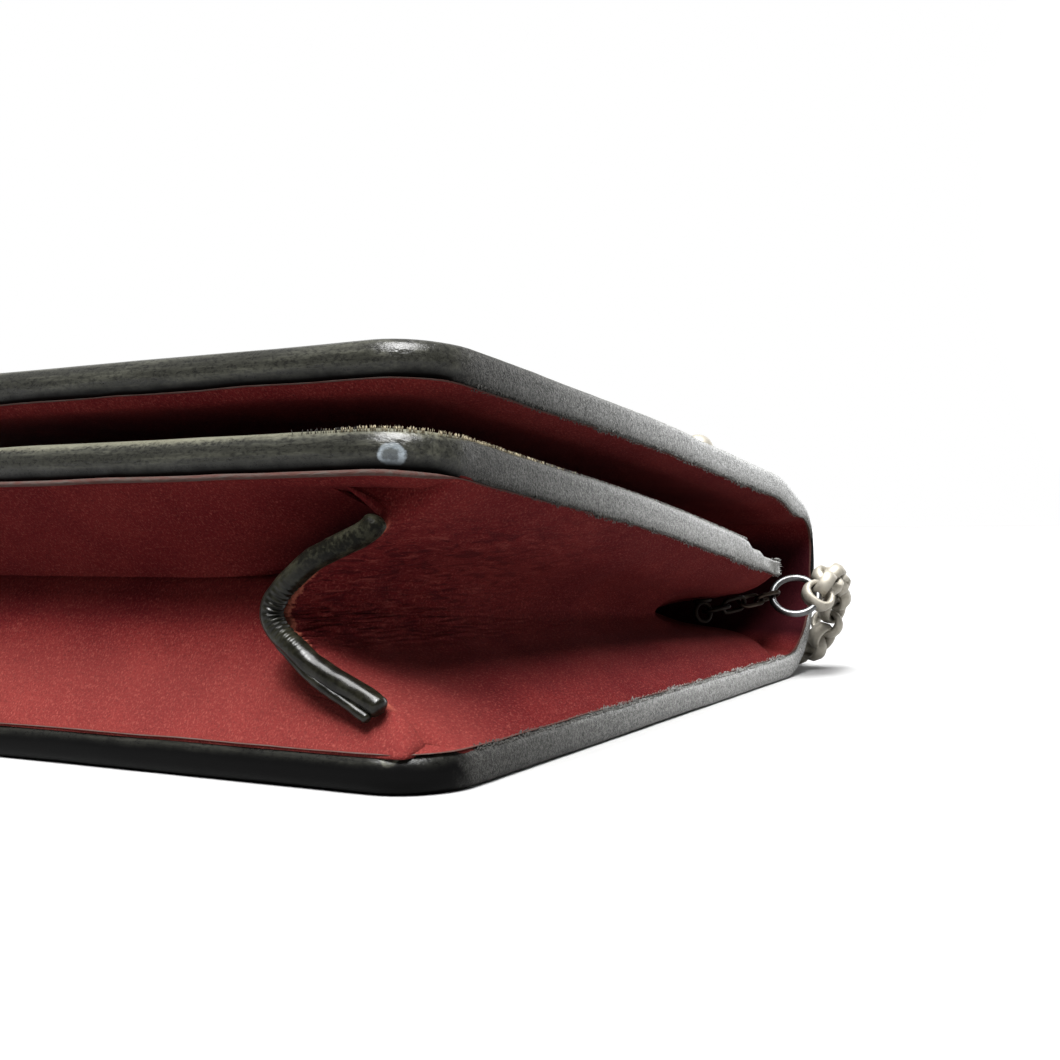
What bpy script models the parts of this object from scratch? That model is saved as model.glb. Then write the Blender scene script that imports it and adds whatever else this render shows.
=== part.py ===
"""Shoulder bag with a full-length flap, lying on its back panel.

Metres, +Z up. The origin is the centre of the back panel's resting face. X runs across the bag,
the bottom edge of the bag is at -Y and its spine, where the flap folds over, is at +Y.
"""
import math

import bmesh
import bpy
from mathutils import Matrix, Vector

# Overall sizes of the closed bag
BAG_WIDTH = 0.210
BAG_HEIGHT = 0.1480
BASE_DEPTH = 0.0508
SPINE_DEPTH = 0.0318

# Outer wrap: back panel, spine and flap are one folded piece
WRAP_THICKNESS = 0.0046
SPINE_TOP_RADIUS = 0.0100
SPINE_BOTTOM_RADIUS = 0.0185
FLAP_BEND_BELOW_SPINE = 0.0200
FLAP_BEND_DEPTH = 0.0392
FLAP_BEND_RADIUS = 0.0180
FLAP_SETBACK = 0.0012
FLAP_BOW = 0.0008
PANEL_CORNER_RADIUS = 0.0090
EDGE_ROUND = 0.0015

# Front panel, under the flap; its free edge lies below the spine by the width of the mouth
FRONT_THICKNESS = 0.0048
MOUTH_WIDTH = 0.0205
FRONT_HEIGHT = BAG_HEIGHT - MOUTH_WIDTH
FRONT_BASE_RISE = 0.0408
FRONT_TOP_RISE = 0.0246
FRONT_BOW = 0.0009
FRONT_TOP_CORNER_RADIUS = 0.0030

# Linings
LINING_THICKNESS = 0.0010
LINING_MARGIN = 0.0009

# Side gussets, folded inward
GUSSET_THICKNESS = 0.0012
GUSSET_START = 0.0042
GUSSET_BELOW_MOUTH = 0.0043
GUSSET_LENGTH = FRONT_HEIGHT - GUSSET_BELOW_MOUTH - GUSSET_START
GUSSET_SEAM_INSET = 0.0034
GUSSET_SEAM_START = 0.0125
GUSSET_LIP_INSET = 0.0088
GUSSET_FOLD_INSET = 0.0232

# Piping on the lower edge of each side gusset
PIPING_RADIUS = 0.0017
PIPING_STEPS = 20

# Bottom gusset, folded inward
BOTTOM_SEAM_INSET = 0.0026
BOTTOM_FOLD_INSET = 0.0150
BOTTOM_THICKNESS = 0.0012
BOTTOM_FOLD_RISE = 0.60

# Strap fittings: an eye on the front of each side gusset's fold, a few small links and a ring
EYE_RADIUS = 0.0018
EYE_WIRE_RADIUS = 0.00045
EYE_PLATE_RADIUS = 0.0018
EYE_PLATE_THICKNESS = 0.0007
EYE_BELOW_MOUTH = 0.0122
EYE_ALONG = FRONT_HEIGHT - EYE_BELOW_MOUTH
EYE_ACROSS = 0.24
EYE_SLOPE = 0.02
LINK_WIDTH = 0.0034
LINK_WIRE_RADIUS = 0.00042
LINK_COUNT = 4
RING_RADIUS = 0.0044
RING_WIRE_RADIUS = 0.00065
RING_OUTSIDE = 0.0005
RING_BELOW_SPINE = 0.0155
RING_ALONG = BAG_HEIGHT - RING_BELOW_SPINE
RING_RISE = 0.0160
RING_TURN = math.radians(16.7)
RING_LEAN = math.radians(40.0)

# Chain strap, a tube of the links' outer size
CHAIN_RADIUS = 0.0035
CHAIN_POINT_SPACING = 0.0100

# Studs on the flap, near its side edges
STUD_RADIUS = 0.0030
STUD_HEIGHT = 0.0034
STUD_SIDE_INSET = 0.0070
STUD_ALONG = 0.1000

# Steps of the mesh: angle between edges in a bend, distance between edges in a bow
BEND_STEP = math.radians(14.0)
BOW_STEP = 0.0180

# Clearance between pieces that touch
GAP = 0.0003

# Colours of the finishes: name, colour, roughness, metallic
FINISHES = {
    "black_leather": ((0.020, 0.020, 0.018), 0.35, 0.0),
    "wine_leather": ((0.170, 0.025, 0.035), 0.70, 0.0),
    "black_piping": ((0.022, 0.020, 0.014), 0.30, 0.0),
    "silver_metal": ((0.600, 0.580, 0.540), 0.28, 1.0),
}

# Sections of a side gusset, from the bag's bottom to its mouth. Columns: share of the gusset's
# length, share of the lip inset, share of the fold inset, and the heights of the front lip, the
# fold and the back lip as shares of the room between the linings.
GUSSET_SECTIONS = (
    (0.00, 1.00, 1.00, 0.860, 0.487, 0.120),
    (0.10, 0.86, 0.90, 0.860, 0.490, 0.125),
    (0.25, 0.78, 0.80, 0.860, 0.495, 0.135),
    (0.50, 0.74, 0.72, 0.860, 0.500, 0.150),
    (0.78, 0.72, 0.66, 0.850, 0.500, 0.180),
    (0.86, 0.74, 0.85, 0.840, 0.530, 0.200),
    (0.94, 0.78, 1.15, 0.840, 0.550, 0.210),
    (1.00, 0.90, 1.15, 0.860, 0.550, 0.210),
)
# Where the wall of the fold bends round into its crease, as shares of the way from lip to crease
GUSSET_WALL_IN = 0.66
GUSSET_WALL_DOWN = 0.45
GUSSET_ACROSS = 16
GUSSET_ALONG = 20
# The rows of the gusset's mesh lie closer near the bag's bottom corner: power of their spread
GUSSET_ROW_SPREAD = 1.5

# Chosen points of the strap. Beside the bag: metres outside the side edge, past the spine and above
# the floor. Behind the bag: X and metres past the spine, on the floor, from the right ring to the left.
STRAP_ENDS = (
    (0.0050, -0.0115, 0.0180),
    (0.0050, -0.0055, 0.0190),
    (0.0036, 0.0022, 0.0174),
    (0.0010, 0.0046, 0.0120),
    (-0.0020, 0.0044, 0.0072),
)
STRAP_FLOOR = (
    (0.0980, 0.0070),
    (0.0910, 0.0140),
    (0.0810, 0.0310),
    (0.0740, 0.0570),
    (0.0700, 0.0870),
    (0.0650, 0.1170),
    (0.0550, 0.1480),
    (0.0370, 0.1770),
    (0.0090, 0.1980),
    (-0.0260, 0.2070),
    (-0.0620, 0.2020),
    (-0.0930, 0.1820),
    (-0.1150, 0.1500),
    (-0.1270, 0.1130),
    (-0.1300, 0.0750),
    (-0.1250, 0.0430),
    (-0.1130, 0.0190),
)


def height_at(along):
    """Y of a place at this distance from the bag's bottom edge."""
    return along - BAG_HEIGHT / 2.0


class FoldLine:
    """Outer face of a folded panel as a line in the YZ plane, with round bends at its corners.

    The inside of the fold is on the right of the direction of travel. Each run is a length, a
    start, a heading, a bend radius or 0, and the height of its outward bow.
    """

    def __init__(self, corners, radii, first_bow):
        self.runs = []
        place = Vector(corners[0])
        bow = first_bow
        for corner, following, radius in zip(corners[1:-1], corners[2:], radii):
            before = (Vector(corner) - place).normalized()
            after = (Vector(following) - Vector(corner)).normalized()
            heading = math.atan2(before.y, before.x)
            turn = math.atan2(before.y * after.x - before.x * after.y, before.dot(after))
            trim = radius * math.tan(turn / 2.0)
            entry = Vector(corner) - before * trim
            self.runs.append(((entry - place).length, place, heading, 0.0, bow))
            self.runs.append((radius * turn, entry, heading, radius, 0.0))
            place = Vector(corner) + after * trim
            bow = 0.0
        last = Vector(corners[-1]) - place
        self.runs.append((last.length, place, math.atan2(last.y, last.x), 0.0, bow))
        self.length = sum(run[0] for run in self.runs)

    def place(self, distance, depth):
        """Y and Z of the point this far along the outer face and this deep inside it."""
        for run in self.runs:
            length, start, heading, radius, bow = run
            if distance <= length or run is self.runs[-1]:
                break
            distance -= length
        ahead = Vector((math.cos(heading), math.sin(heading)))
        inward = Vector((math.sin(heading), -math.cos(heading)))
        if radius == 0.0:
            bowed = depth - bow * math.sin(math.pi * distance / length) ** 2
            return start + ahead * distance + inward * bowed
        centre = start + inward * radius
        turned = heading - distance / radius
        return centre - Vector((math.sin(turned), -math.cos(turned))) * (radius - depth)

    def bend_stations(self):
        """Distances along the line at which a bend or a bow needs an edge across the panel."""
        stations = []
        travelled = 0.0
        for length, _start, _heading, radius, bow in self.runs:
            if radius > 0.0 or bow > 0.0:
                step = radius * BEND_STEP if radius > 0.0 else BOW_STEP
                count = max(2, math.ceil(length / step))
                stations += [travelled + length * number / count for number in range(count + 1)]
            travelled += length
        return stations


def wrap_line():
    """Outer face of the wrap, from the flap's free edge over the spine to the back panel's edge."""
    corners = (
        (height_at(FLAP_SETBACK), BASE_DEPTH),
        (height_at(BAG_HEIGHT - FLAP_BEND_BELOW_SPINE), FLAP_BEND_DEPTH),
        (height_at(BAG_HEIGHT), SPINE_DEPTH),
        (height_at(BAG_HEIGHT), 0.0),
        (height_at(0.0), 0.0),
    )
    return FoldLine(corners, (FLAP_BEND_RADIUS, SPINE_TOP_RADIUS, SPINE_BOTTOM_RADIUS), FLAP_BOW)


def front_line():
    """Outer face of the front panel, from the bottom edge to its free edge near the spine."""
    start = (height_at(0.0), FRONT_BASE_RISE)
    end = (height_at(FRONT_HEIGHT), FRONT_TOP_RISE)
    return FoldLine((start, end), (), FRONT_BOW)


def front_lining_height(along):
    """Height of the front lining's inner face at this distance from the bottom edge."""
    line = front_line()
    depth = FRONT_THICKNESS + GAP + LINING_THICKNESS
    drift = line.place(along, depth).x - height_at(along)
    return line.place(along - drift, depth).y


def back_lining_height():
    """Height of the back lining's inner face."""
    return WRAP_THICKNESS + GAP + LINING_THICKNESS


def finish(name):
    """The material of this name, made once from the table of finishes."""
    material = bpy.data.materials.get(name)
    if material is None:
        colour, roughness, metallic = FINISHES[name]
        material = bpy.data.materials.new(name)
        material.use_nodes = True
        shader = material.node_tree.nodes["Principled BSDF"]
        shader.inputs["Base Color"].default_value = (*colour, 1.0)
        shader.inputs["Roughness"].default_value = roughness
        shader.inputs["Metallic"].default_value = metallic
    return material


def add_object(name, data, finish_name, parts):
    """Link new data as an object in the collection of parts, with its finish."""
    made = bpy.data.objects.new(name, data)
    data.materials.append(finish(finish_name))
    parts.objects.link(made)
    return made


def folded_panel(name, line, span, width, depth, thickness, corners, edge_round, finish_name, parts):
    """A flat slab with round corners, folded along a line.

    Span is where the slab starts and ends along the line, depth is how far inside the line its
    outer face lies, and corners are the radii of its start and end corners.
    """
    start, end = span
    mesh = bpy.data.meshes.new(name)
    slab = bmesh.new()
    bmesh.ops.create_cube(slab, size=1.0)
    size = Matrix.Diagonal((width, end - start, thickness, 1.0))
    middle = Matrix.Translation((0.0, (start + end) / 2.0, depth + thickness / 2.0))
    bmesh.ops.transform(slab, matrix=middle @ size, verts=slab.verts)
    for at_start, radius in ((True, corners[0]), (False, corners[1])):
        upright = [
            edge
            for edge in slab.edges
            if abs(edge.verts[0].co.z - edge.verts[1].co.z) > thickness / 2.0
            and (edge.verts[0].co.y < (start + end) / 2.0) == at_start
        ]
        bmesh.ops.bevel(slab, geom=upright, offset=radius, segments=5, profile=0.5, affect="EDGES")
    if edge_round > 0.0:
        half = thickness / 2.0
        rim = [edge for edge in slab.edges if abs(edge.verts[0].co.z - edge.verts[1].co.z) < half]
        bmesh.ops.bevel(slab, geom=rim, offset=edge_round, segments=2, profile=0.5, affect="EDGES")
    for station in line.bend_stations():
        if start < station < end:
            everything = slab.verts[:] + slab.edges[:] + slab.faces[:]
            place = (0.0, station, 0.0)
            bmesh.ops.bisect_plane(slab, geom=everything, plane_co=place, plane_no=(0.0, 1.0, 0.0))
    for vertex in slab.verts:
        folded = line.place(vertex.co.y, vertex.co.z)
        vertex.co = (vertex.co.x, folded.x, folded.y)
    bmesh.ops.reverse_faces(slab, faces=slab.faces)
    slab.to_mesh(mesh)
    slab.free()
    return add_object(name, mesh, finish_name, parts)


def blend(before, after, share):
    """A value between two others, easing in and out."""
    eased = share * share * (3.0 - 2.0 * share)
    return before + (after - before) * eased


def gusset_section(share):
    """Lip inset, fold inset and the three heights, read from the table at a share of the length."""
    for before, after in zip(GUSSET_SECTIONS, GUSSET_SECTIONS[1:]):
        if share <= after[0]:
            part = max(0.0, (share - before[0]) / (after[0] - before[0]))
            return [blend(low, high, part) for low, high in zip(before[1:], after[1:])]
    return list(GUSSET_SECTIONS[-1][1:])


def smooth_point(points, share):
    """The point at this share of a smooth curve through the points."""
    last = len(points) - 1
    where = min(share * last, last - 1e-9)
    number = int(where)
    part = where - number
    ends = [points[min(max(number + step, 0), last)] for step in (-1, 0, 1, 2)]
    weights = (
        -0.5 * part + part ** 2 - 0.5 * part ** 3,
        1.0 - 2.5 * part ** 2 + 1.5 * part ** 3,
        0.5 * part + 2.0 * part ** 2 - 1.5 * part ** 3,
        -0.5 * part ** 2 + 0.5 * part ** 3,
    )
    total = Vector(ends[0]) * 0.0
    for weight, end in zip(weights, ends):
        total += Vector(end) * weight
    return total


def seam_inset(along, start):
    """Inset of a gusset seam, which follows the panel's round corner to its start near the bottom."""
    radius = PANEL_CORNER_RADIUS - GUSSET_SEAM_INSET
    from_side = PANEL_CORNER_RADIUS - along
    if along <= GUSSET_START:
        return start
    if from_side <= 0.0:
        return GUSSET_SEAM_INSET
    return PANEL_CORNER_RADIUS - math.sqrt(radius ** 2 - from_side ** 2)


def gusset_profile(along):
    """Key points of a side gusset's section, front seam to back seam: inset and height."""
    share = min(max((along - GUSSET_START) / GUSSET_LENGTH, 0.0), 1.0)
    lip, fold, front_lip, crease, back_lip = gusset_section(share)
    seat = GUSSET_THICKNESS / 2.0 + GAP * 1.5
    low = back_lining_height()
    high = front_lining_height(along)
    room = high - low
    lip_inset = GUSSET_LIP_INSET * lip
    fold_inset = GUSSET_FOLD_INSET * fold
    wall_inset = lip_inset + (fold_inset - lip_inset) * GUSSET_WALL_IN
    return [
        (seam_inset(along, GUSSET_SEAM_START), high - seat),
        (lip_inset, low + room * front_lip),
        (wall_inset, low + room * (front_lip + (crease - front_lip) * GUSSET_WALL_DOWN)),
        (fold_inset, low + room * crease),
        (wall_inset, low + room * (back_lip + (crease - back_lip) * GUSSET_WALL_DOWN)),
        (lip_inset, low + room * back_lip),
        (seam_inset(along, GUSSET_LIP_INSET), low + seat),
    ]


def gusset_point(along, across):
    """Inset and height of a side gusset's middle surface at a share across, front to back."""
    return smooth_point(gusset_profile(along), across)


def inset_behind_gusset(height, clearance):
    """Inset at which a piece clears the inner side of a side gusset's lower end at this height."""
    steps = 60
    line = [gusset_point(GUSSET_START, number / steps) for number in range(steps + 1)]
    nearest_seam = min((line[0], line[-1]), key=lambda seam: abs(seam.y - height))
    insets = [nearest_seam.x + clearance]
    for before, after in zip(line, line[1:]):
        run = (after - before).normalized()
        behind = (before + after) / 2.0 + Vector((-run.y, run.x)) * clearance
        if abs(behind.y - height) < clearance / 2.0:
            insets.append(behind.x)
    return max(insets)


def sheet_from_grid(name, columns, rows, place, thickness, finish_name, parts):
    """An open sheet, made as a grid whose points are placed by a function, then thickened."""
    mesh = bpy.data.meshes.new(name)
    sheet = bmesh.new()
    bmesh.ops.create_grid(sheet, x_segments=columns, y_segments=rows, size=0.5)
    for vertex in sheet.verts:
        vertex.co = place(vertex.co.x + 0.5, vertex.co.y + 0.5)
    sheet.to_mesh(mesh)
    sheet.free()
    made = add_object(name, mesh, finish_name, parts)
    thicken = made.modifiers.new("thickness", "SOLIDIFY")
    thicken.thickness = thickness
    thicken.offset = 0.0
    thicken.use_even_offset = True
    return made


def side_gusset(side, name, parts):
    """A leather sheet folded inward between the front and back linings, at one side."""

    def place(across, up):
        along = GUSSET_START + GUSSET_LENGTH * up ** GUSSET_ROW_SPREAD
        inset, height = gusset_point(along, across)
        return (side * (BAG_WIDTH / 2.0 - inset), height_at(along), height)

    return sheet_from_grid(name, GUSSET_ACROSS, GUSSET_ALONG, place, GUSSET_THICKNESS, "wine_leather", parts)


def bottom_profile():
    """Key points of the bottom gusset's section, front seam to back seam: distance along, height."""
    seat = BOTTOM_THICKNESS / 2.0 + GAP
    low = back_lining_height() + seat
    high = front_lining_height(BOTTOM_SEAM_INSET) - seat
    fold = low + (high - low) * BOTTOM_FOLD_RISE
    half = (BOTTOM_SEAM_INSET + BOTTOM_FOLD_INSET) / 2.0
    return [
        (BOTTOM_SEAM_INSET, high),
        (half, (high + fold) / 2.0),
        (BOTTOM_FOLD_INSET, fold),
        (half, (low + fold) / 2.0),
        (BOTTOM_SEAM_INSET, low),
    ]


def bottom_gusset(parts):
    """A sheet folded inward between the panels, its ends fitted to the side gussets."""
    profile = bottom_profile()
    clear = (GUSSET_THICKNESS + BOTTOM_THICKNESS) / 2.0 + GAP * 2.0

    def place(across, up):
        along, height = smooth_point(profile, up)
        half_width = BAG_WIDTH / 2.0 - inset_behind_gusset(height, clear)
        return ((across - 0.5) * 2.0 * half_width, height_at(along), height)

    return sheet_from_grid("bottom_gusset", 1, 16, place, BOTTOM_THICKNESS, "wine_leather", parts)


def poly_tube(name, points, radius, sides_level, finish_name, parts):
    """A round bar along a list of points."""
    curve = bpy.data.curves.new(name, "CURVE")
    curve.dimensions = "3D"
    curve.bevel_depth = radius
    curve.bevel_resolution = sides_level
    curve.use_fill_caps = True
    spline = curve.splines.new("POLY")
    spline.points.add(len(points) - 1)
    for slot, point in zip(spline.points, points):
        slot.co = (*point, 1.0)
    return add_object(name, curve, finish_name, parts)


def piping_points(side):
    """Centre line of the piping, from the gusset's front lip round its fold to its back lip."""
    along = GUSSET_START - GAP - PIPING_RADIUS
    lip = 1.0 / (len(gusset_profile(GUSSET_START)) - 1)
    points = []
    for number in range(PIPING_STEPS + 1):
        across = lip + (1.0 - 2.0 * lip) * number / PIPING_STEPS
        inset, height = gusset_point(GUSSET_START, across)
        points.append((side * (BAG_WIDTH / 2.0 - inset), height_at(along), height))
    return points


def side_place(side, outside, along, height):
    """A point given by its distance outside the bag's side edge, along the bag and above the floor."""
    return Vector((side * (BAG_WIDTH / 2.0 + outside), height_at(along), height))


def wire_loop(name, length, width, wire_radius, steps, frame, finish_name, parts):
    """A loop of round wire with half-round ends, in the XY plane of its frame, sized at its centre line."""
    points = []
    for number in range(steps):
        angle = 2.0 * math.pi * (number + 0.5) / steps
        end = math.copysign((length - width) / 2.0, math.cos(angle))
        points.append((end + width / 2.0 * math.cos(angle), width / 2.0 * math.sin(angle), 0.0))
    made = poly_tube(name, points, wire_radius, 1, finish_name, parts)
    made.data.splines[0].use_cyclic_u = True
    made.matrix_world = frame
    return made


def ring_frame(side):
    """Matrix of a strap ring: its centre, turned towards the front corner and leaning back."""
    centre = side_place(side, RING_OUTSIDE, RING_ALONG, RING_RISE)
    turn = Matrix.Rotation(side * RING_TURN, 4, "Z")
    lean = Matrix.Rotation(math.pi / 2.0 - RING_LEAN, 4, "X")
    return Matrix.Translation(centre) @ turn @ lean


def ring_near_point(side):
    """Point of a strap ring's centre line that the last connector link hangs on."""
    return ring_frame(side) @ Vector((-side * RING_RADIUS, 0.0, 0.0))


def eye_frame(side):
    """Matrix of a strap eye: X points out of the gusset, and the XY plane passes the ring."""
    seat = gusset_point(EYE_ALONG, EYE_ACROSS)
    run = (gusset_point(EYE_ALONG, EYE_ACROSS + EYE_SLOPE) - seat).normalized()
    stand_off = GUSSET_THICKNESS / 2.0 + GAP + EYE_PLATE_THICKNESS + EYE_RADIUS
    place = seat + Vector((run.y, -run.x)) * stand_off
    centre = side_place(side, -place.x, EYE_ALONG, place.y)
    outward = Vector((-side * run.y, 0.0, -run.x))
    upward = outward.cross(ring_near_point(side) - centre).normalized()
    turn = Matrix((outward, upward.cross(outward), upward)).transposed().to_4x4()
    return Matrix.Translation(centre) @ turn


def strap_eye(side, name, parts, cutters):
    """A wire eye soldered to a round plate, which sits on the gusset."""
    frame = eye_frame(side)
    plate_mesh = bpy.data.meshes.new(name + "_plate")
    disc = bmesh.new()
    bmesh.ops.create_cone(
        disc, cap_ends=True, segments=14, radius1=EYE_PLATE_RADIUS, radius2=EYE_PLATE_RADIUS,
        depth=EYE_PLATE_THICKNESS,
    )
    upright = Matrix.Rotation(math.pi / 2.0, 4, "Y")
    back = Matrix.Translation((-EYE_RADIUS - EYE_PLATE_THICKNESS / 2.0, 0.0, 0.0))
    bmesh.ops.transform(disc, matrix=back @ upright, verts=disc.verts)
    disc.to_mesh(plate_mesh)
    disc.free()
    plate = add_object(name, plate_mesh, "silver_metal", parts)
    plate.matrix_world = frame
    loop = wire_loop(
        name + "_loop", EYE_RADIUS * 2.0, EYE_RADIUS * 2.0, EYE_WIRE_RADIUS, 12, frame, "silver_metal", parts
    )
    joined = meshed(loop, cutters)
    union = plate.modifiers.new("solder", "BOOLEAN")
    union.operation = "UNION"
    union.solver = "EXACT"
    union.object = joined
    return plate


def meshed(piece, collection):
    """A mesh copy of a curve object, hidden in another collection; the curve is removed."""
    bpy.context.view_layer.update()
    graph = bpy.context.evaluated_depsgraph_get()
    mesh = bpy.data.meshes.new_from_object(piece.evaluated_get(graph))
    welded = bmesh.new()
    welded.from_mesh(mesh)
    bmesh.ops.remove_doubles(welded, verts=welded.verts, dist=1e-6)
    bmesh.ops.recalc_face_normals(welded, faces=welded.faces)
    welded.to_mesh(mesh)
    welded.free()
    made = bpy.data.objects.new(piece.name + "_mesh", mesh)
    made.matrix_world = piece.matrix_world
    made.hide_render = True
    made.display_type = "WIRE"
    collection.objects.link(made)
    bpy.data.objects.remove(piece, do_unlink=True)
    return made


def connector_links(side, label, parts):
    """Small oval links between the eye and the ring, each turned about a quarter against the last."""
    start = eye_frame(side)
    eye = start.translation
    reach = ring_near_point(side) - eye
    pitch = (reach.length - EYE_RADIUS + EYE_WIRE_RADIUS + RING_WIRE_RADIUS + GAP) / LINK_COUNT
    length = pitch + 4.0 * LINK_WIRE_RADIUS + GAP
    first = EYE_RADIUS - EYE_WIRE_RADIUS - GAP / 2.0 + pitch / 2.0
    ahead = reach.normalized()
    beside = start.col[2].xyz.cross(ahead).normalized()
    above = ahead.cross(beside)
    aim = Matrix((ahead, beside, above)).transposed().to_4x4()
    ring_wire = ring_frame(side).col[1].xyz
    last_roll = math.atan2(-ring_wire.dot(beside), ring_wire.dot(above))
    quarter = math.pi / 2.0
    twist = (last_roll - quarter * LINK_COUNT + quarter) % math.pi - quarter
    for number in range(LINK_COUNT):
        centre = eye + ahead * (first + pitch * number)
        turned = quarter * (number + 1) + twist * number / (LINK_COUNT - 1)
        roll = Matrix.Rotation(turned, 4, "X")
        frame = Matrix.Translation(centre) @ aim @ roll
        name = f"connector_link_{label}_{number + 1}"
        bar_length = length - 2.0 * LINK_WIRE_RADIUS
        bar_width = LINK_WIDTH - 2.0 * LINK_WIRE_RADIUS
        wire_loop(name, bar_length, bar_width, LINK_WIRE_RADIUS, 12, frame, "silver_metal", parts)


def flap_stud(side, name, parts):
    """A low round dome with a flat base, on the flap's outer face."""
    mesh = bpy.data.meshes.new(name)
    dome = bmesh.new()
    bmesh.ops.create_uvsphere(dome, u_segments=14, v_segments=10, radius=STUD_RADIUS)
    everything = dome.verts[:] + dome.edges[:] + dome.faces[:]
    cut = bmesh.ops.bisect_plane(
        dome, geom=everything, plane_co=(0.0, 0.0, 0.0), plane_no=(0.0, 0.0, -1.0), clear_outer=True
    )
    rim = [piece for piece in cut["geom_cut"] if isinstance(piece, bmesh.types.BMEdge)]
    bmesh.ops.holes_fill(dome, edges=rim)
    stretch = Matrix.Diagonal((1.0, 1.0, STUD_HEIGHT / STUD_RADIUS, 1.0))
    bmesh.ops.transform(dome, matrix=stretch, verts=dome.verts)
    bmesh.ops.recalc_face_normals(dome, faces=dome.faces)
    dome.to_mesh(mesh)
    dome.free()
    stud = add_object(name, mesh, "silver_metal", parts)
    line = wrap_line()
    distance = STUD_ALONG - FLAP_SETBACK
    seat = line.place(distance, -GAP)
    ahead = line.place(distance + STUD_RADIUS, -GAP) - seat
    tilt = math.atan2(ahead.y, ahead.x)
    stud.location = (side * (BAG_WIDTH / 2.0 - STUD_SIDE_INSET), seat.x, seat.y)
    stud.rotation_euler = (tilt, 0.0, 0.0)
    return stud


def strap_route():
    """Centre line of the strap, from the right ring round the spine, along the floor and back."""
    ends = [(outside, BAG_HEIGHT + past, height) for outside, past, height in STRAP_ENDS]
    right = [side_place(1.0, *point) for point in ends]
    left = [side_place(-1.0, *point) for point in reversed(ends)]
    floor = [Vector((across, height_at(BAG_HEIGHT + past), CHAIN_RADIUS)) for across, past in STRAP_FLOOR]
    return right + floor + left


def even_points(route, spacing):
    """Points at an even spacing along a smooth curve through the route's points."""
    fine = [smooth_point(route, number / 2000.0) for number in range(2001)]
    travelled = [0.0]
    for before, after in zip(fine, fine[1:]):
        travelled.append(travelled[-1] + (after - before).length)
    count = max(2, round(travelled[-1] / spacing))
    points = []
    number = 0
    for step in range(count + 1):
        wanted = travelled[-1] * step / count
        while number < len(fine) - 2 and travelled[number + 1] < wanted:
            number += 1
        share = (wanted - travelled[number]) / (travelled[number + 1] - travelled[number])
        points.append(fine[number].lerp(fine[number + 1], min(max(share, 0.0), 1.0)))
    return points


def chain_strap(parts):
    """The strap as two tubes that meet behind the bag."""
    points = even_points(strap_route(), CHAIN_POINT_SPACING)
    half = len(points) // 2
    meeting = points[half]
    towards = (points[half + 1] - points[half - 1]).normalized()
    stub = towards * CHAIN_RADIUS
    right = points[:half] + [meeting - stub, meeting - towards * GAP / 2.0]
    left = [meeting + towards * GAP / 2.0, meeting + stub] + points[half + 1:]
    poly_tube("chain_strap_right", right, CHAIN_RADIUS, 2, "silver_metal", parts)
    poly_tube("chain_strap_left", left, CHAIN_RADIUS, 2, "silver_metal", parts)


def panels(parts):
    """The folded wrap and the front panel, each with its lining."""
    corner = PANEL_CORNER_RADIUS
    lining_corner = PANEL_CORNER_RADIUS - LINING_MARGIN
    lining_width = BAG_WIDTH - 2.0 * LINING_MARGIN
    wrap = wrap_line()
    folded_panel(
        "outer_wrap", wrap, (0.0, wrap.length), BAG_WIDTH, 0.0, WRAP_THICKNESS,
        (corner, corner), EDGE_ROUND, "black_leather", parts,
    )
    folded_panel(
        "wrap_lining", wrap, (LINING_MARGIN, wrap.length - LINING_MARGIN), lining_width,
        WRAP_THICKNESS + GAP, LINING_THICKNESS, (lining_corner, lining_corner), 0.0, "wine_leather", parts,
    )
    front = front_line()
    folded_panel(
        "front_panel", front, (0.0, front.length), BAG_WIDTH, 0.0, FRONT_THICKNESS,
        (corner, FRONT_TOP_CORNER_RADIUS), EDGE_ROUND, "black_leather", parts,
    )
    folded_panel(
        "front_lining", front, (LINING_MARGIN, front.length - LINING_MARGIN), lining_width,
        FRONT_THICKNESS + GAP, LINING_THICKNESS, (lining_corner, FRONT_TOP_CORNER_RADIUS), 0.0,
        "wine_leather", parts,
    )


def build():
    """Make every piece of the bag."""
    for old in list(bpy.data.objects):
        bpy.data.objects.remove(old, do_unlink=True)
    parts = bpy.data.collections.new("shoulder_bag")
    cutters = bpy.data.collections.new("cutters")
    bpy.context.scene.collection.children.link(parts)
    bpy.context.scene.collection.children.link(cutters)
    panels(parts)
    bottom_gusset(parts)
    for side, label in ((1.0, "right"), (-1.0, "left")):
        side_gusset(side, f"side_gusset_{label}", parts)
        poly_tube(f"gusset_piping_{label}", piping_points(side), PIPING_RADIUS, 3, "black_piping", parts)
        strap_eye(side, f"strap_eye_{label}", parts, cutters)
        connector_links(side, label, parts)
        ring_size = RING_RADIUS * 2.0
        wire_loop(
            f"strap_ring_{label}", ring_size, ring_size, RING_WIRE_RADIUS, 16, ring_frame(side),
            "silver_metal", parts,
        )
        flap_stud(side, f"flap_stud_{label}", parts)
    chain_strap(parts)


build()
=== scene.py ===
"""Looks of a closed flap shoulder bag that lies on its back panel.

Metres, +Z up. X runs across the bag, the bottom edge is at -Y and the spine at +Y.
"""

import logging
import math
import random
from dataclasses import dataclass, field
from enum import Enum, IntEnum
from typing import Callable, Iterable, Sequence

import bpy
import numpy as np
from mathutils import Matrix, Vector, noise
from numpy.typing import NDArray


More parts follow.
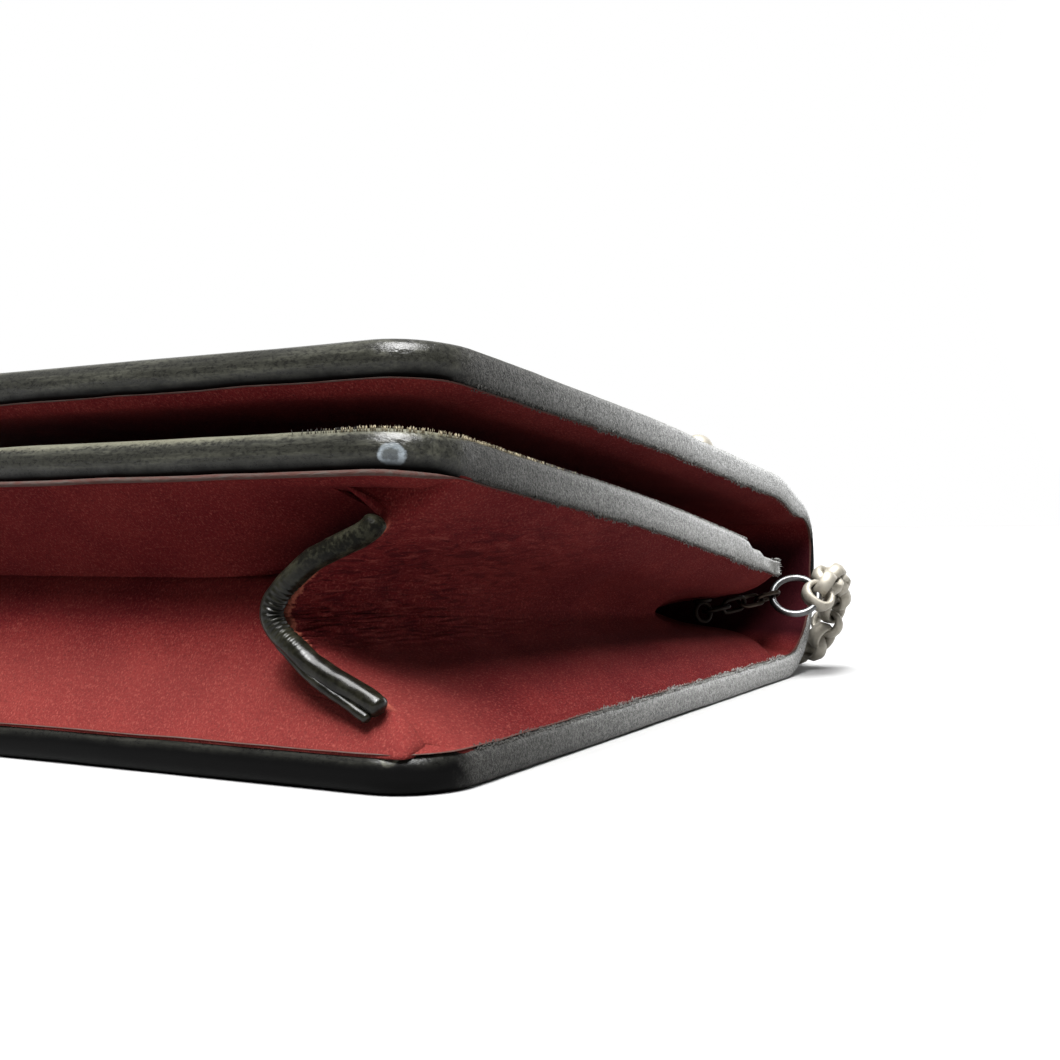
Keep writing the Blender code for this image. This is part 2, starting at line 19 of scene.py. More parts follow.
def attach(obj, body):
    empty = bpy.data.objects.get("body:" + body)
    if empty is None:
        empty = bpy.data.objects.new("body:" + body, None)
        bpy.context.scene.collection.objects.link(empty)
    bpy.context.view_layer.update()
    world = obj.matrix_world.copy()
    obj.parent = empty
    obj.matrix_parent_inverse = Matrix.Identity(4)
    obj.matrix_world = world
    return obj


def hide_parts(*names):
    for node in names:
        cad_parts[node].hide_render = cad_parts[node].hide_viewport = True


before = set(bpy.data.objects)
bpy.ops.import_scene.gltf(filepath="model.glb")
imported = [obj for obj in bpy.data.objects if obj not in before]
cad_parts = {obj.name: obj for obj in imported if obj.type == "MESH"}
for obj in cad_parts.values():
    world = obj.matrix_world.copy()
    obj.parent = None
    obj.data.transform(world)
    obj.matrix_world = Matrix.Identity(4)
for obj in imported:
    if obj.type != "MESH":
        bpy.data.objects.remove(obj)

LOG = logging.getLogger("shoulder_bag")
CAP_RINGS = 4
PATH_STEPS = 4000
Array = NDArray[np.float64]
Colour = tuple[float, float, float]
Point = tuple[float, float, float]
Pair = tuple[float, float]
Faces = list[tuple[int, ...]]
DepthAt = Callable[[float, float], float]
Settings = dict[str, object]
Inputs = dict[int | str, object]
BODY = "root"


class Side(Enum):
    """The bag's two sides, with the sign of X there."""

    RIGHT = 1.0
    LEFT = -1.0

    @property
    def label(self) -> str:
        """The side's name inside the names of nodes."""
        return self.name.lower()


class Face(IntEnum):
    """What a face of a panel shows, and so the place of its finish in the piece's list."""

    OUTER = 0
    RIM = 1
    INNER = 2
    FUZZ = 3
    FIBRE = 4


@dataclass(frozen=True)
class BagSizes:
    """Sizes of the bag that several pieces share."""

    width: float = 0.210
    height: float = 0.1480
    base_depth: float = 0.0508
    spine_depth: float = 0.0318
    wrap_thickness: float = 0.0046
    front_thickness: float = 0.0048
    front_height: float = 0.1275
    front_base_rise: float = 0.0408
    front_top_rise: float = 0.0246
    lining_thickness: float = 0.0010
    gap: float = 0.0003
    corner_radius: float = 0.0090
    flap_setback: float = 0.0012

    def y(self, along: float) -> float:
        """Y of a place at this distance from the bag's bottom edge."""
        return along - self.height / 2.0


SIZES = BagSizes()


# ---- shader expressions


class Value:
    """A socket that carries a number, for shader maths written as Python expressions."""

    def __init__(self, graph: "Graph", socket: bpy.types.NodeSocket) -> None:
        """Wrap an output socket of the graph that new nodes go to."""
        self.graph = graph
        self.socket = socket

    def _maths(self, operation: str, *operands: "Value | float") -> "Value":
        """Add one Math node with this operation on the operands."""
        inputs = dict(enumerate(operands))
        return self.graph.number("ShaderNodeMath", {"operation": operation}, inputs)

    def __add__(self, other: "Value | float") -> "Value":
        """Sum."""
        return self._maths("ADD", self, other)

    def __sub__(self, other: "Value | float") -> "Value":
        """Difference."""
        return self._maths("SUBTRACT", self, other)

    def __mul__(self, other: "Value | float") -> "Value":
        """Product."""
        return self._maths("MULTIPLY", self, other)

    def __rsub__(self, other: float) -> "Value":
        """Difference with a plain number first."""
        return self._maths("SUBTRACT", other, self)

    __radd__ = __add__
    __rmul__ = __mul__

    def __abs__(self) -> "Value":
        """Absolute value."""
        return self._maths("ABSOLUTE", self)

    def rise(self, low: float, high: float) -> "Value":
        """A smooth step.

        Args:
            low: Where the step is 0.
            high: Where it is 1.

        Returns:
            The step, from 0 to 1; it falls where low is above high.
        """
        settings = {"interpolation_type": "SMOOTHSTEP"}
        if low <= high:
            return self.graph.number("ShaderNodeMapRange", settings, {0: self, 1: low, 2: high})
        return 1.0 - self.graph.number("ShaderNodeMapRange", settings, {0: self, 1: high, 2: low})

    def rise_along(self, span: Pair) -> "Value":
        """A smooth step of a surface's Y, between two distances from the bag's bottom edge."""
        return self.rise(SIZES.y(span[0]), SIZES.y(span[1]))


@dataclass
class Graph:
    """The node graph of a material or of the surround."""

    owner: bpy.types.Material | bpy.types.World

    @property
    def tree(self) -> bpy.types.NodeTree:
        """The owner's node tree."""
        return self.owner.node_tree

    def node(self, kind: str, settings: Settings | None = None, inputs: Inputs | None = None) -> bpy.types.Node:
        """Add a node.

        Args:
            kind: The node's type.
            settings: Its settings, which are set first.
            inputs: Values or links of its sockets, by index or name.

        Returns:
            The node.
        """
        made = self.tree.nodes.new(kind)
        for name, setting in (settings or {}).items():
            setattr(made, name, setting)
        for name, given in (inputs or {}).items():
            self.feed(made.inputs[name], given)
        return made

    def feed(self, socket: bpy.types.NodeSocket, given: object) -> None:
        """Set a socket's value, or link it.

        Args:
            socket: The input socket.
            given: A Value, a socket, a number or a colour.
        """
        if isinstance(given, Value):
            given = given.socket
        if isinstance(given, bpy.types.NodeSocket):
            self.tree.links.new(given, socket)
        elif isinstance(given, tuple) and socket.type == "RGBA":
            socket.default_value = (*given[:3], 1.0)
        else:
            socket.default_value = given

    def number(self, kind: str, settings: Settings, inputs: Inputs) -> Value:
        """Add a node, as node does, and take its first output as a number."""
        return Value(self, self.node(kind, settings, inputs).outputs[0])

    def place(self) -> bpy.types.NodeSocket:
        """The surface's place in metres."""
        return self.node("ShaderNodeTexCoord").outputs["Object"]

    def axes(self) -> tuple[Value, Value, Value]:
        """The surface's X, Y and Z in metres."""
        parts = self.node("ShaderNodeSeparateXYZ", inputs={0: self.place()})
        return tuple(Value(self, output) for output in parts.outputs)

    def stretched(self, scale: Point, shift: Point = (0.0, 0.0, 0.0)) -> bpy.types.NodeSocket:
        """The surface's place, scaled along each axis.

        Args:
            scale: Features per metre along X, Y and Z.
            shift: Moved by this much after scaling, so that two textures differ.

        Returns:
            The scaled place.
        """
        scaled = self.node("ShaderNodeVectorMath", {"operation": "MULTIPLY"}, {0: self.place(), 1: scale})
        moved = self.node("ShaderNodeVectorMath", {"operation": "ADD"}, {0: scaled.outputs[0], 1: shift})
        return moved.outputs[0]

    def grain(
        self, scale: Point | float, detail: float = 2.0, roughness: float = 0.5, shift: Point = (0.0, 0.0, 0.0),
        warp: float = 0.0,
    ) -> Value:
        """Noise over the surface.

        Args:
            scale: Features per metre, along each axis or along all.
            detail: Octaves.
            roughness: Weight of the finer octaves.
            shift: Moves the pattern.
            warp: How far the noise distorts itself.

        Returns:
            The noise, about 0.5 on average.
        """
        scales = scale if isinstance(scale, tuple) else (scale, scale, scale)
        inputs = {
            "Vector": self.stretched(scales, shift),
            "Scale": 1.0,
            "Detail": detail,
            "Roughness": roughness,
            "Distortion": warp,
        }
        return self.number("ShaderNodeTexNoise", {}, inputs)

    def cells(self, scale: float, feature: str = "F1", shift: Point = (0.0, 0.0, 0.0)) -> Value:
        """Voronoi cells over the surface, so many per metre, moved by a shift."""
        inputs = {"Vector": self.stretched((scale, scale, scale), shift), "Scale": 1.0}
        return self.number("ShaderNodeTexVoronoi", {"feature": feature}, inputs)

    def blend(self, share: Value | float, before: object, after: object) -> bpy.types.NodeSocket:
        """Mix two colours, with this share of the second."""
        return self.node("ShaderNodeMix", {"data_type": "RGBA"}, {0: share, 6: before, 7: after}).outputs[2]

    def bump(self, height: Value, reach: float, strength: float = 1.0) -> bpy.types.NodeSocket:
        """A normal from a height from 0 to 1, where 1 stands for this reach in metres."""
        inputs = {"Strength": strength, "Distance": reach, "Height": height}
        return self.node("ShaderNodeBump", {}, inputs).outputs[0]

    def shade(self, **inputs: object) -> None:
        """Give the material's main shader its inputs.

        Args:
            inputs: The inputs, by name with _ for spaces.
        """
        shader = self.tree.nodes["Principled BSDF"]
        for name, given in inputs.items():
            self.feed(shader.inputs[name.replace("_", " ")], given)

    def cover(self, share: Value, **inputs: object) -> None:
        """Cover what the material shows so far with a further shader.

        Args:
            share: How much of the further shader shows.
            inputs: Its inputs, by name with _ for spaces.
        """
        named = {name.replace("_", " "): given for name, given in inputs.items()}
        upper = self.node("ShaderNodeBsdfPrincipled", {}, named).outputs[0]
        shown = self.tree.nodes["Material Output"].inputs[0]
        lower = shown.links[0].from_socket
        self.feed(shown, self.node("ShaderNodeMixShader", {}, {0: share, 1: lower, 2: upper}).outputs[0])


@dataclass(frozen=True)
class Finish:
    """A surface finish, made as a material when it is first used."""

    title: str = "finish"

    def material(self) -> bpy.types.Material:
        """The material of this finish.

        Returns:
            The material.
        """
        made = bpy.data.materials.get(self.title)
        if made is None:
            made = bpy.data.materials.new(self.title)
            made.use_nodes = True
            self.draw(Graph(made))
        return made

    def draw(self, graph: Graph) -> None:
        """Add the finish's nodes to a graph."""
        raise NotImplementedError


@dataclass(frozen=True)
class PanelLeather(Finish):
    """Smooth black leather of the outer faces, with a fine grain."""

    title: str = "panel_leather"
    colour: Colour = (0.016, 0.016, 0.015)
    worn: Colour = (0.025, 0.0245, 0.022)

    def draw(self, graph: Graph) -> None:
        """Fine pebbles, pores and broad shine differences.

        Args:
            graph: The finish's graph.
        """
        pebbles = graph.cells(1500.0, "SMOOTH_F1")
        creases = graph.grain((90.0, 260.0, 260.0), 4.0, 0.6, warp=0.4)
        broad = graph.grain(38.0, 3.0, 0.55)
        tone = graph.blend(broad.rise(0.42, 0.74), self.colour, self.worn)
        height = pebbles * 0.6 + creases * 0.5 + graph.grain(3800.0, 2.0) * 0.15
        graph.shade(
            Base_Color=tone,
            Roughness=0.30 + broad * 0.16 + pebbles * 0.10,
            Specular_IOR_Level=0.30,
            Normal=graph.bump(height, 0.00022, 0.6),
        )


@dataclass(frozen=True)
class PanelEdge(Finish):
    """Painted edge of the panels: glossy and streaked at the bottom, matte and speckled at the sides.

    A painted glint is a painted highlight spot: its X, height, reach sideways and upward, share and colour.
    Spans named _along are distances from the bottom edge, and those named _height are heights above the floor.
    """

    title: str = "panel_edge"
    black: Colour = (0.002, 0.002, 0.002)
    glossy: Colour = (0.014, 0.014, 0.011)
    streak: Colour = (0.040, 0.040, 0.031)
    # Painted highlight tone for the upward-facing top edges.
    rubbed_and_highlight: Colour = (0.130, 0.128, 0.095)
    matte: Colour = (0.012, 0.012, 0.011)
    speck: Colour = (0.055, 0.053, 0.048)
    # Side tones towards the spine: dust and painted sheen.
    dust_and_sheen: Colour = (0.085, 0.086, 0.083)
    dust_and_sheen_speck: Colour = (0.260, 0.259, 0.245)
    # Painted highlights near the front and back bands' corners.
    painted_glints: tuple[tuple[float, float, float, float, float, Colour], ...] = (
        (0.0997, 0.0376, 0.0014, 0.0013, 0.80, (0.36, 0.41, 0.45)),
        (0.0988, 0.0044, 0.0010, 0.0011, 0.60, (0.26, 0.26, 0.20)),
    )
    side_margin: float = 0.0060
    side_run: float = 0.004
    side_along: Pair = (0.002, 0.014)
    dust_and_sheen_along: Pair = (0.004, 0.098)
    # Heights over which painted shade darkens the back panel's band near the floor.
    painted_shade_height: Pair = (0.0060, 0.0048)
    flap_height: Pair = (0.0435, 0.0425)
    turn_along: Pair = (0.1452, 0.1464)
    turn_heights: tuple[Pair, Pair] = ((0.0160, 0.0175), (0.0295, 0.0265))

    def draw(self, graph: Graph) -> None:
        """Black undersides as painted shade, streaked paint along the bottom edge, and fuzz along the sides that
        lightens with dust and painted sheen.

        Args:
            graph: The finish's graph.
        """
        smears = graph.grain((240.0, 240.0, 240.0), 3.0, 0.6, shift=(7.0, 3.0, 1.0))
        # The black base stays on what faces down: painted shade on the undersides.
        graph.shade(Base_Color=self.black, Roughness=0.35 + smears * 0.1, Specular_IOR_Level=0.04)
        self._paint(graph, smears)
        self._fuzz(graph)

    def _paint(self, graph: Graph, smears: Value) -> None:
        """Cover what faces up with streaked paint, leaving painted shade below and on the back band, and a painted
        highlight on upward edges off the back panel.

        Args:
            graph: The finish's graph.
            smears: Broad noise that makes the paint's border uneven.
        """
        rise = graph.axes()[2]
        streaks = graph.grain((70.0, 900.0, 900.0), 4.0, 0.62)
        grit = graph.grain((1500.0, 2600.0, 2600.0), 3.0, 0.7)
        facing = graph.node("ShaderNodeTexCoord").outputs["Normal"]
        up = Value(graph, graph.node("ShaderNodeSeparateXYZ", inputs={0: facing}).outputs[2])
        # Painted shade: the back panel's band near the floor is darkened.
        back = rise.rise(*self.painted_shade_height)
        up = up + (smears - 0.5) * 0.45 - back * 0.85
        paint = graph.blend(streaks.rise(0.42, 0.75), self.glossy, self.streak)
        paint = graph.blend(grit.rise(0.56, 0.36) * 0.6, paint, self.black)
        # Painted highlight: upward-facing top edges below the flap are lightened as if lit from above, except on the
        # back panel.
        rubbed_and_highlight = (up + (grit - 0.5) * 0.5).rise(0.45, 0.95) * rise.rise(*self.flap_height)
        paint = graph.blend(rubbed_and_highlight * (1.0 - back) * 0.75, paint, self.rubbed_and_highlight)
        paint = graph.blend(back * 0.30, paint, self.black)
        # The paint covers only what faces up; what faces down keeps the painted shade.
        graph.cover(
            up.rise(-0.66, -0.02),
            Base_Color=self._painted_glints(graph, paint),
            Roughness=0.17 + streaks * 0.12 + grit * 0.12,
            Specular_IOR_Level=0.28,
            Normal=graph.bump(streaks * 0.7 + smears * 0.6 + grit * 0.22, 0.00026, 0.75),
        )

    def _fuzz(self, graph: Graph) -> None:
        """Cover the side edges with matte fuzz, which is lighter further from the bottom edge with dust and painted
        sheen.

        Args:
            graph: The finish's graph.
        """
        across, along, rise = graph.axes()
        outside = abs(across) - (SIZES.width / 2.0 - self.side_margin)
        corner = along.rise_along(self.side_along) * outside.rise(0.0, self.side_run)
        blotches = graph.grain(900.0, 3.0, 0.65, shift=(1.0, 8.0, 4.0))
        side = (corner * 1.5 - 0.25 + (blotches - 0.5) * 1.1 * (corner * (1.0 - corner) * 4.0)).rise(0.05, 0.95)
        fuzz = graph.grain(2500.0, 4.0, 0.78)
        specks = graph.grain(4600.0, 2.0, 0.7, shift=(4.0, 1.0, 6.0))
        weave = graph.cells(3000.0, "F1", (2.0, 5.0, 1.0))
        # Dust and painted sheen: the side tone lightens towards the spine.
        far = along.rise_along(self.dust_and_sheen_along)
        pale = (fuzz * 0.6 + specks * 0.4).rise(0.40, 0.62)
        lower, upper = self.turn_heights
        thin = along.rise_along(self.turn_along) * rise.rise(*lower) * rise.rise(*upper)
        near_tone = graph.blend(pale, self.matte, self.speck)
        far_tone = graph.blend(pale, self.dust_and_sheen, self.dust_and_sheen_speck)
        graph.cover(
            side,
            Base_Color=graph.blend(thin, graph.blend(far, near_tone, far_tone), self.black),
            Roughness=0.50 + fuzz * 0.20,
            Specular_IOR_Level=0.07,
            Coat_Weight=(0.06 + far * 0.68) * (0.15 + fuzz.rise(0.30, 0.72) * 1.7) * (1.0 - thin),
            Coat_Roughness=0.45,
            Normal=graph.bump(fuzz * 0.8 + weave * 0.4 + specks * 0.3, 0.00040, 0.85),
        )

    def _painted_glints(self, graph: Graph, paint: bpy.types.NodeSocket) -> bpy.types.NodeSocket:
        """Lay the painted glints, painted highlight spots near the bag's bottom corners, over the paint.

        Args:
            graph: The finish's graph.
            paint: The paint's colour.

        Returns:
            The colour with the painted highlights.
        """
        across, _along, rise = graph.axes()
        uneven = (graph.grain(1300.0, 3.0, 0.65, shift=(6.0, 2.0, 9.0)) - 0.5) * 1.1
        for x, height, reach, tall, share, colour in self.painted_glints:
            sideways, upward = (abs(across) - x) * (1.0 / reach), (rise - height) * (1.0 / tall)
            away = sideways * sideways + upward * upward + uneven
            ring = away.rise(1.25, 0.75) * (0.25 + away.rise(0.15, 0.60) * 0.75) * (0.62 - upward * 0.38)
            paint = graph.blend(ring * share, paint, colour)
        return paint


@dataclass(frozen=True)
class EdgeFuzz(Finish):
    """Short fibres of the panels' cut edges, dark at the bag's corner and lighter further back with dust and painted
    sheen.
    """

    title: str = "edge_fuzz"
    near: Colour = (0.045, 0.043, 0.039)
    distant: Colour = (0.240, 0.238, 0.226)
    shaded: Colour = (0.012, 0.010, 0.009)
    dust_and_sheen_along: Pair = (0.004, 0.100)

    def draw(self, graph: Graph) -> None:
        """Each tuft has its own tone.

        Args:
            graph: The finish's graph.
        """
        _across, along, _rise = graph.axes()
        own = graph.grain(1600.0, 2.0, 0.6)
        # Dust and painted sheen: the tufts lighten further from the bottom edge.
        tone = graph.blend(along.rise_along(self.dust_and_sheen_along), self.near, self.distant)
        graph.shade(
            Base_Color=graph.blend(own.rise(0.60, 0.35) * 0.6, tone, self.shaded),
            Roughness=0.75 + own * 0.2,
            Specular_IOR_Level=0.15,
        )


@dataclass(frozen=True)
class WineSuede(Finish):
    """Wine-red suede of the linings and gussets, with a short nap."""

    title: str = "wine_suede"
    colour: Colour = (0.094, 0.0098, 0.0096)
    deep: Colour = (0.067, 0.0050, 0.0062)
    dark: Colour = (0.026, 0.0022, 0.0035)
    light: Colour = (0.220, 0.056, 0.044)
    # Painted shade colour, for deep places inside the bag.
    painted_shade: Colour = (0.015, 0.0022, 0.0042)
    raw: Colour = (0.260, 0.078, 0.050)
    creased: bool = False
    raw_edge: bool = False
    shaded_recess: bool = False
    # Span of the painted shade near the spine, and the heights over which it grows stronger.
    spine_shade_along: Pair = (0.1320, 0.1410)
    spine_shade_height: Pair = (0.0300, 0.0240)
    painted_shade_height: Pair = (0.0055, 0.0090)
    # Span and heights of the painted light on low faces near the bottom edge.
    painted_light_along: Pair = (0.0300, 0.0060)
    painted_light_height: Pair = (0.0190, 0.0100)
    recess_along: Pair = (0.0100, 0.0180)
    recess_across: Pair = (0.0680, 0.0830)
    creased_along: Pair = (0.080, 0.012)
    creased_heights: tuple[Pair, Pair] = ((0.0125, 0.0190), (0.0330, 0.0270))
    raw_along: Pair = (0.0049, 0.0044)
    raw_heights: tuple[Pair, Pair] = ((0.0085, 0.0105), (0.0310, 0.0290))

    def draw(self, graph: Graph) -> None:
        """Nap grain and cloudy tone, painted shade deep near the spine, painted light on low faces near the bottom
        edge, and a shaded recess, shaded creases and a raw edge where the piece has them.

        Args:
            graph: The finish's graph.
        """
        nap = graph.grain(3400.0, 4.0, 0.75)
        fibres = graph.grain((4800.0, 2200.0, 3000.0), 3.0, 0.7, shift=(3.0, 9.0, 2.0))
        clouds = graph.grain(75.0, 4.0, 0.55)
        tone = graph.blend(clouds.rise(0.30, 0.72), self.deep, self.colour)
        tone = graph.blend(fibres.rise(0.48, 0.74) * 0.60, tone, self.light)
        tone = graph.blend(nap.rise(0.54, 0.30) * 0.70, tone, self.dark)
        height = nap * 0.5 + fibres * 0.4
        across, along, rise = graph.axes()
        # Painted shade deep inside near the spine, stronger higher up.
        spine = (along + (clouds - 0.5) * 0.006).rise_along(self.spine_shade_along) * rise.rise(*self.spine_shade_height)
        tone = graph.blend(spine * (0.30 + rise.rise(*self.painted_shade_height) * 0.55), tone, self.painted_shade)
        # Painted light: low faces near the bottom edge are lightened.
        painted_light = rise.rise(*self.painted_light_height) * along.rise_along(self.painted_light_along)
        tone = graph.blend(painted_light * 0.17, tone, self.light)
        if self.shaded_recess:
            # Painted shade in the bottom gusset's deep corners near its ends.
            recess = along.rise_along(self.recess_along) * abs(across).rise(*self.recess_across)
            tone = graph.blend(recess * 0.90, tone, self.painted_shade)
        if self.creased:
            lower, upper = self.creased_heights
            near = along.rise_along(self.creased_along) * rise.rise(*lower) * rise.rise(*upper)
            lines = graph.grain((500.0, 230.0, 1750.0), 3.0, 0.62, warp=0.8)
            height = height + lines * near * 1.4
            # Painted shade in the crease troughs and painted highlight on their ridges.
            tone = graph.blend(lines.rise(0.50, 0.38) * near * 0.70, tone, self.dark)
            tone = graph.blend(lines.rise(0.56, 0.68) * near * 0.30, tone, self.light)
        if self.raw_edge:
            lower, upper = self.raw_heights
            reach = along + (graph.grain(2600.0, 3.0, 0.7) - 0.5) * 0.0016
            raw = reach.rise_along(self.raw_along) * (rise.rise(*lower) * rise.rise(*upper))
            tone = graph.blend(raw * 0.8, tone, self.raw)
        graph.shade(
            Base_Color=tone,
            Roughness=0.78 + nap * 0.15,
            Specular_IOR_Level=0.035,
            Normal=graph.bump(height, 0.00026, 0.85),
        )


@dataclass(frozen=True)
class CutEdge(Finish):
    """Cut edge of a lining: grey-brown along the bag's bottom, wine-red at the sides."""

    title: str = "cut_edge"
    bare: Colour = (0.050, 0.038, 0.033)
    wine: Colour = (0.048, 0.018, 0.014)
    side_along: Pair = (0.002, 0.008)

    def draw(self, graph: Graph) -> None:
        """Fibres of the cut leather.

        Args:
            graph: The finish's graph.
        """
        _across, along, _rise = graph.axes()
        fibres = graph.grain((500.0, 2600.0, 2600.0), 3.0, 0.65)
        side = along.rise_along(self.side_along)
        bare = graph.blend(fibres.rise(0.35, 0.70), self.wine, self.bare)
        graph.shade(
            Base_Color=graph.blend(side, bare, self.wine),
            Roughness=0.75 + fibres * 0.2,
            Specular_IOR_Level=0.2,
            Normal=graph.bump(fibres, 0.0002, 0.8),
        )


@dataclass(frozen=True)
class RolledLeather(Finish):
    """Glossy black leather of the piping, cracked fine and rubbed olive-brown on top."""

    title: str = "rolled_leather"
    colour: Colour = (0.0026, 0.0024, 0.0014)
    rubbed_and_highlight: Colour = (0.010, 0.0096, 0.0055)
    mottle: Colour = (0.017, 0.0165, 0.0105)
    polished_height: Pair = (0.0285, 0.0215)

    def draw(self, graph: Graph) -> None:
        """Fine cracks, rubbed patches and a changing shine.

        Args:
            graph: The finish's graph.
        """
        polished = graph.axes()[2].rise(*self.polished_height)
        patches = graph.grain((260.0, 260.0, 260.0), 4.0, 0.6)
        fine = graph.grain(4600.0, 2.0, 0.6)
        grain = graph.grain(2100.0, 3.0, 0.6)
        spots = graph.grain(850.0, 3.0, 0.7, shift=(2.0, 2.0, 5.0))
        tone = graph.blend(patches.rise(0.44, 0.74), self.colour, self.rubbed_and_highlight)
        tone = graph.blend(spots.rise(0.44, 0.62) * (1.0 - polished * 0.7), tone, self.mottle)
        height = patches * 0.4 + fine * 0.25 + grain * (0.75 - polished * 0.6) + spots * 0.5 * (1.0 - polished)
        graph.shade(
            Base_Color=tone,
            Roughness=0.42 - polished * 0.12 + patches * 0.12,
            Specular_IOR_Level=0.06,
            Coat_Weight=polished * (0.02 + patches * 0.56),
            Coat_Roughness=0.23,
            Normal=graph.bump(height, 0.00020, 0.9),
        )


@dataclass(frozen=True)
class SilverMetal(Finish):
    """Polished metal of the fittings and the chain, dulled in places."""

    title: str = "fitting_silver"
    colour: Colour = (0.125, 0.127, 0.130)
    dulled: Colour = (0.090, 0.088, 0.084)
    shine: float = 0.31
    metal: float = 1.0

    def draw(self, graph: Graph) -> None:
        """Dull patches and fine scratches.

        Args:
            graph: The finish's graph.
        """
        patches = graph.grain(420.0, 3.0, 0.6)
        scratches = graph.grain((900.0, 5200.0, 5200.0), 2.0, 0.6)
        tone = graph.blend(patches.rise(0.46, 0.76), self.colour, self.dulled)
        graph.shade(
            Base_Color=tone,
            Metallic=self.metal,
            Roughness=self.shine + patches * 0.14 + scratches * 0.06,
            Normal=graph.bump(patches * 0.6 + scratches * 0.3, 0.00006, 0.6),
        )


@dataclass(frozen=True)
class FrayedFibre(Finish):
    """Pale beige fibres that stick out of the front panel's edge."""

    title: str = "frayed_fibre"
    colour: Colour = (0.34, 0.29, 0.19)
    shaded: Colour = (0.10, 0.08, 0.045)

    def draw(self, graph: Graph) -> None:
        """Each fibre has its own tone."""
        own = graph.grain(1400.0, 2.0, 0.6)
        graph.shade(Base_Color=graph.blend(own.rise(0.35, 0.65), self.shaded, self.colour), Roughness=0.7 + own * 0.2)


@dataclass(frozen=True)
class StudioFloor(Finish):
    """Matte white paper floor."""

    title: str = "studio_floor"
    colour: Colour = (0.295, 0.295, 0.295)
    cloudy: Colour = (0.305, 0.305, 0.304)

    def draw(self, graph: Graph) -> None:
        """A very faint cloudiness.

        Args:
            graph: The finish's graph.
        """
        clouds = graph.grain(9.0, 3.0, 0.5)
        graph.shade(
            Base_Color=graph.blend(clouds, self.colour, self.cloudy),
            Roughness=0.85,
            Specular_IOR_Level=0.1,
        )


LEATHER = PanelLeather()
EDGE = PanelEdge()
SUEDE = WineSuede()
CUT_EDGE = CutEdge()
GUSSET_SUEDE = WineSuede(title="gusset_suede", creased=True, raw_edge=True)
# The bottom gusset has painted shade in its deep corners.
BOTTOM_SUEDE = WineSuede(title="bottom_suede", shaded_recess=True)
PIPING = RolledLeather()
SILVER = SilverMetal()
CHAIN_SILVER = SilverMetal(
    title="chain_silver", colour=(0.33, 0.308, 0.262), dulled=(0.20, 0.182, 0.145), shine=0.52, metal=0.80
)
# Painted shade: the links and the eye sit in a dark hollow, so their metal is darkened, the eye most.
SHADED_LINK_SILVER = SilverMetal(title="link_silver", colour=(0.040, 0.029, 0.022), dulled=(0.012, 0.008, 0.006), shine=0.32)
SHADED_EYE_SILVER = SilverMetal(title="eye_silver", colour=(0.014, 0.010, 0.008), dulled=(0.006, 0.004, 0.003), shine=0.42)
FIBRE = FrayedFibre()
FUZZ = EdgeFuzz()


# ---- mesh tools


@dataclass
class MeshParts:
    """Points and faces of a mesh in the making, with a number for each face's finish."""

    points: list[Point] = field(default_factory=list)
    faces: Faces = field(default_factory=list)
    kinds: list[int] = field(default_factory=list)

    def add(self, points: Iterable[Sequence[float]], faces: Iterable[Sequence[int]], kind: int = 0) -> int:
        """Add a stretch of mesh.

        Args:
            points: Its points.
            faces: Its faces, counted from its own first point.
            kind: The number of its finish.

        Returns:
            The index of its first point.
        """
        start = len(self.points)
        self.points.extend(tuple(float(part) for part in point) for point in points)
        self.add_faces(((start + corner for corner in face) for face in faces), kind)
        return start

    def add_faces(self, faces: Iterable[Iterable[int]], kind: int = 0) -> None:
        """Add faces between points that are there already.

        Args:
            faces: The faces, counted from the first point of all.
            kind: The number of their finish.
        """
        for face in faces:
            self.faces.append(tuple(face))
            self.kinds.append(kind)

    def piece(self, name: str, finishes: Sequence[Finish], slot: str, *nodes: str) -> None:
        """Make the mesh a piece of the scene.

        Args:
            name: The piece's name.
            finishes: The finishes, in the order of the faces' numbers.
            slot: The record's material slot; not used.
            nodes: The CAD nodes that it stands for.
        """
        mesh = bpy.data.meshes.new(name)
        mesh.from_pydata(self.points, [], self.faces)
        for finish in finishes:
            mesh.materials.append(finish.material())
        mesh.polygons.foreach_set("material_index", self.kinds)
        mesh.polygons.foreach_set("use_smooth", [True] * len(mesh.polygons))
        mesh.update()
        made = bpy.data.objects.new(name, mesh)
        bpy.context.scene.collection.objects.link(made)
        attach(made, BODY)
        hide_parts(*nodes)
        LOG.info("%s: %d faces", name, len(self.faces))


def grid_faces(rows: int, columns: int, round_rows: bool = False, round_columns: bool = False) -> Faces:
    """Faces of a grid of points.

    Args:
        rows: Number of rows of points.
        columns: Points in a row.
        round_rows: Whether the last row joins the first.
        round_columns: Whether each row closes on itself.

    Returns:
        The quads.
    """
    faces = []
    for row in range(rows if round_rows else rows - 1):
        after = (row + 1) % rows
        for column in range(columns if round_columns else columns - 1):
            beside = (column + 1) % columns
            faces.append(
                (row * columns + column, row * columns + beside, after * columns + beside, after * columns + column)
            )
    return faces


def eased(share: float) -> float:
    """A share from 0 to 1, eased at both ends and held beyond them."""
    held = min(max(share, 0.0), 1.0)
    return held * held * (3.0 - 2.0 * held)


def ripple(x: float, y: float, z: float, scale: float, seed: float = 0.0) -> float:
    """Smooth noise at a place, from about -1 to 1, with this many features per metre."""
    return noise.noise(Vector((x * scale + seed, y * scale - seed, z * scale + 2.0 * seed)))


def circle(steps: int) -> list[Pair]:
    """Cosine and sine of evenly spaced angles, once round."""
    angles = [2.0 * math.pi * number / steps for number in range(steps)]
    return [(math.cos(angle), math.sin(angle)) for angle in angles]


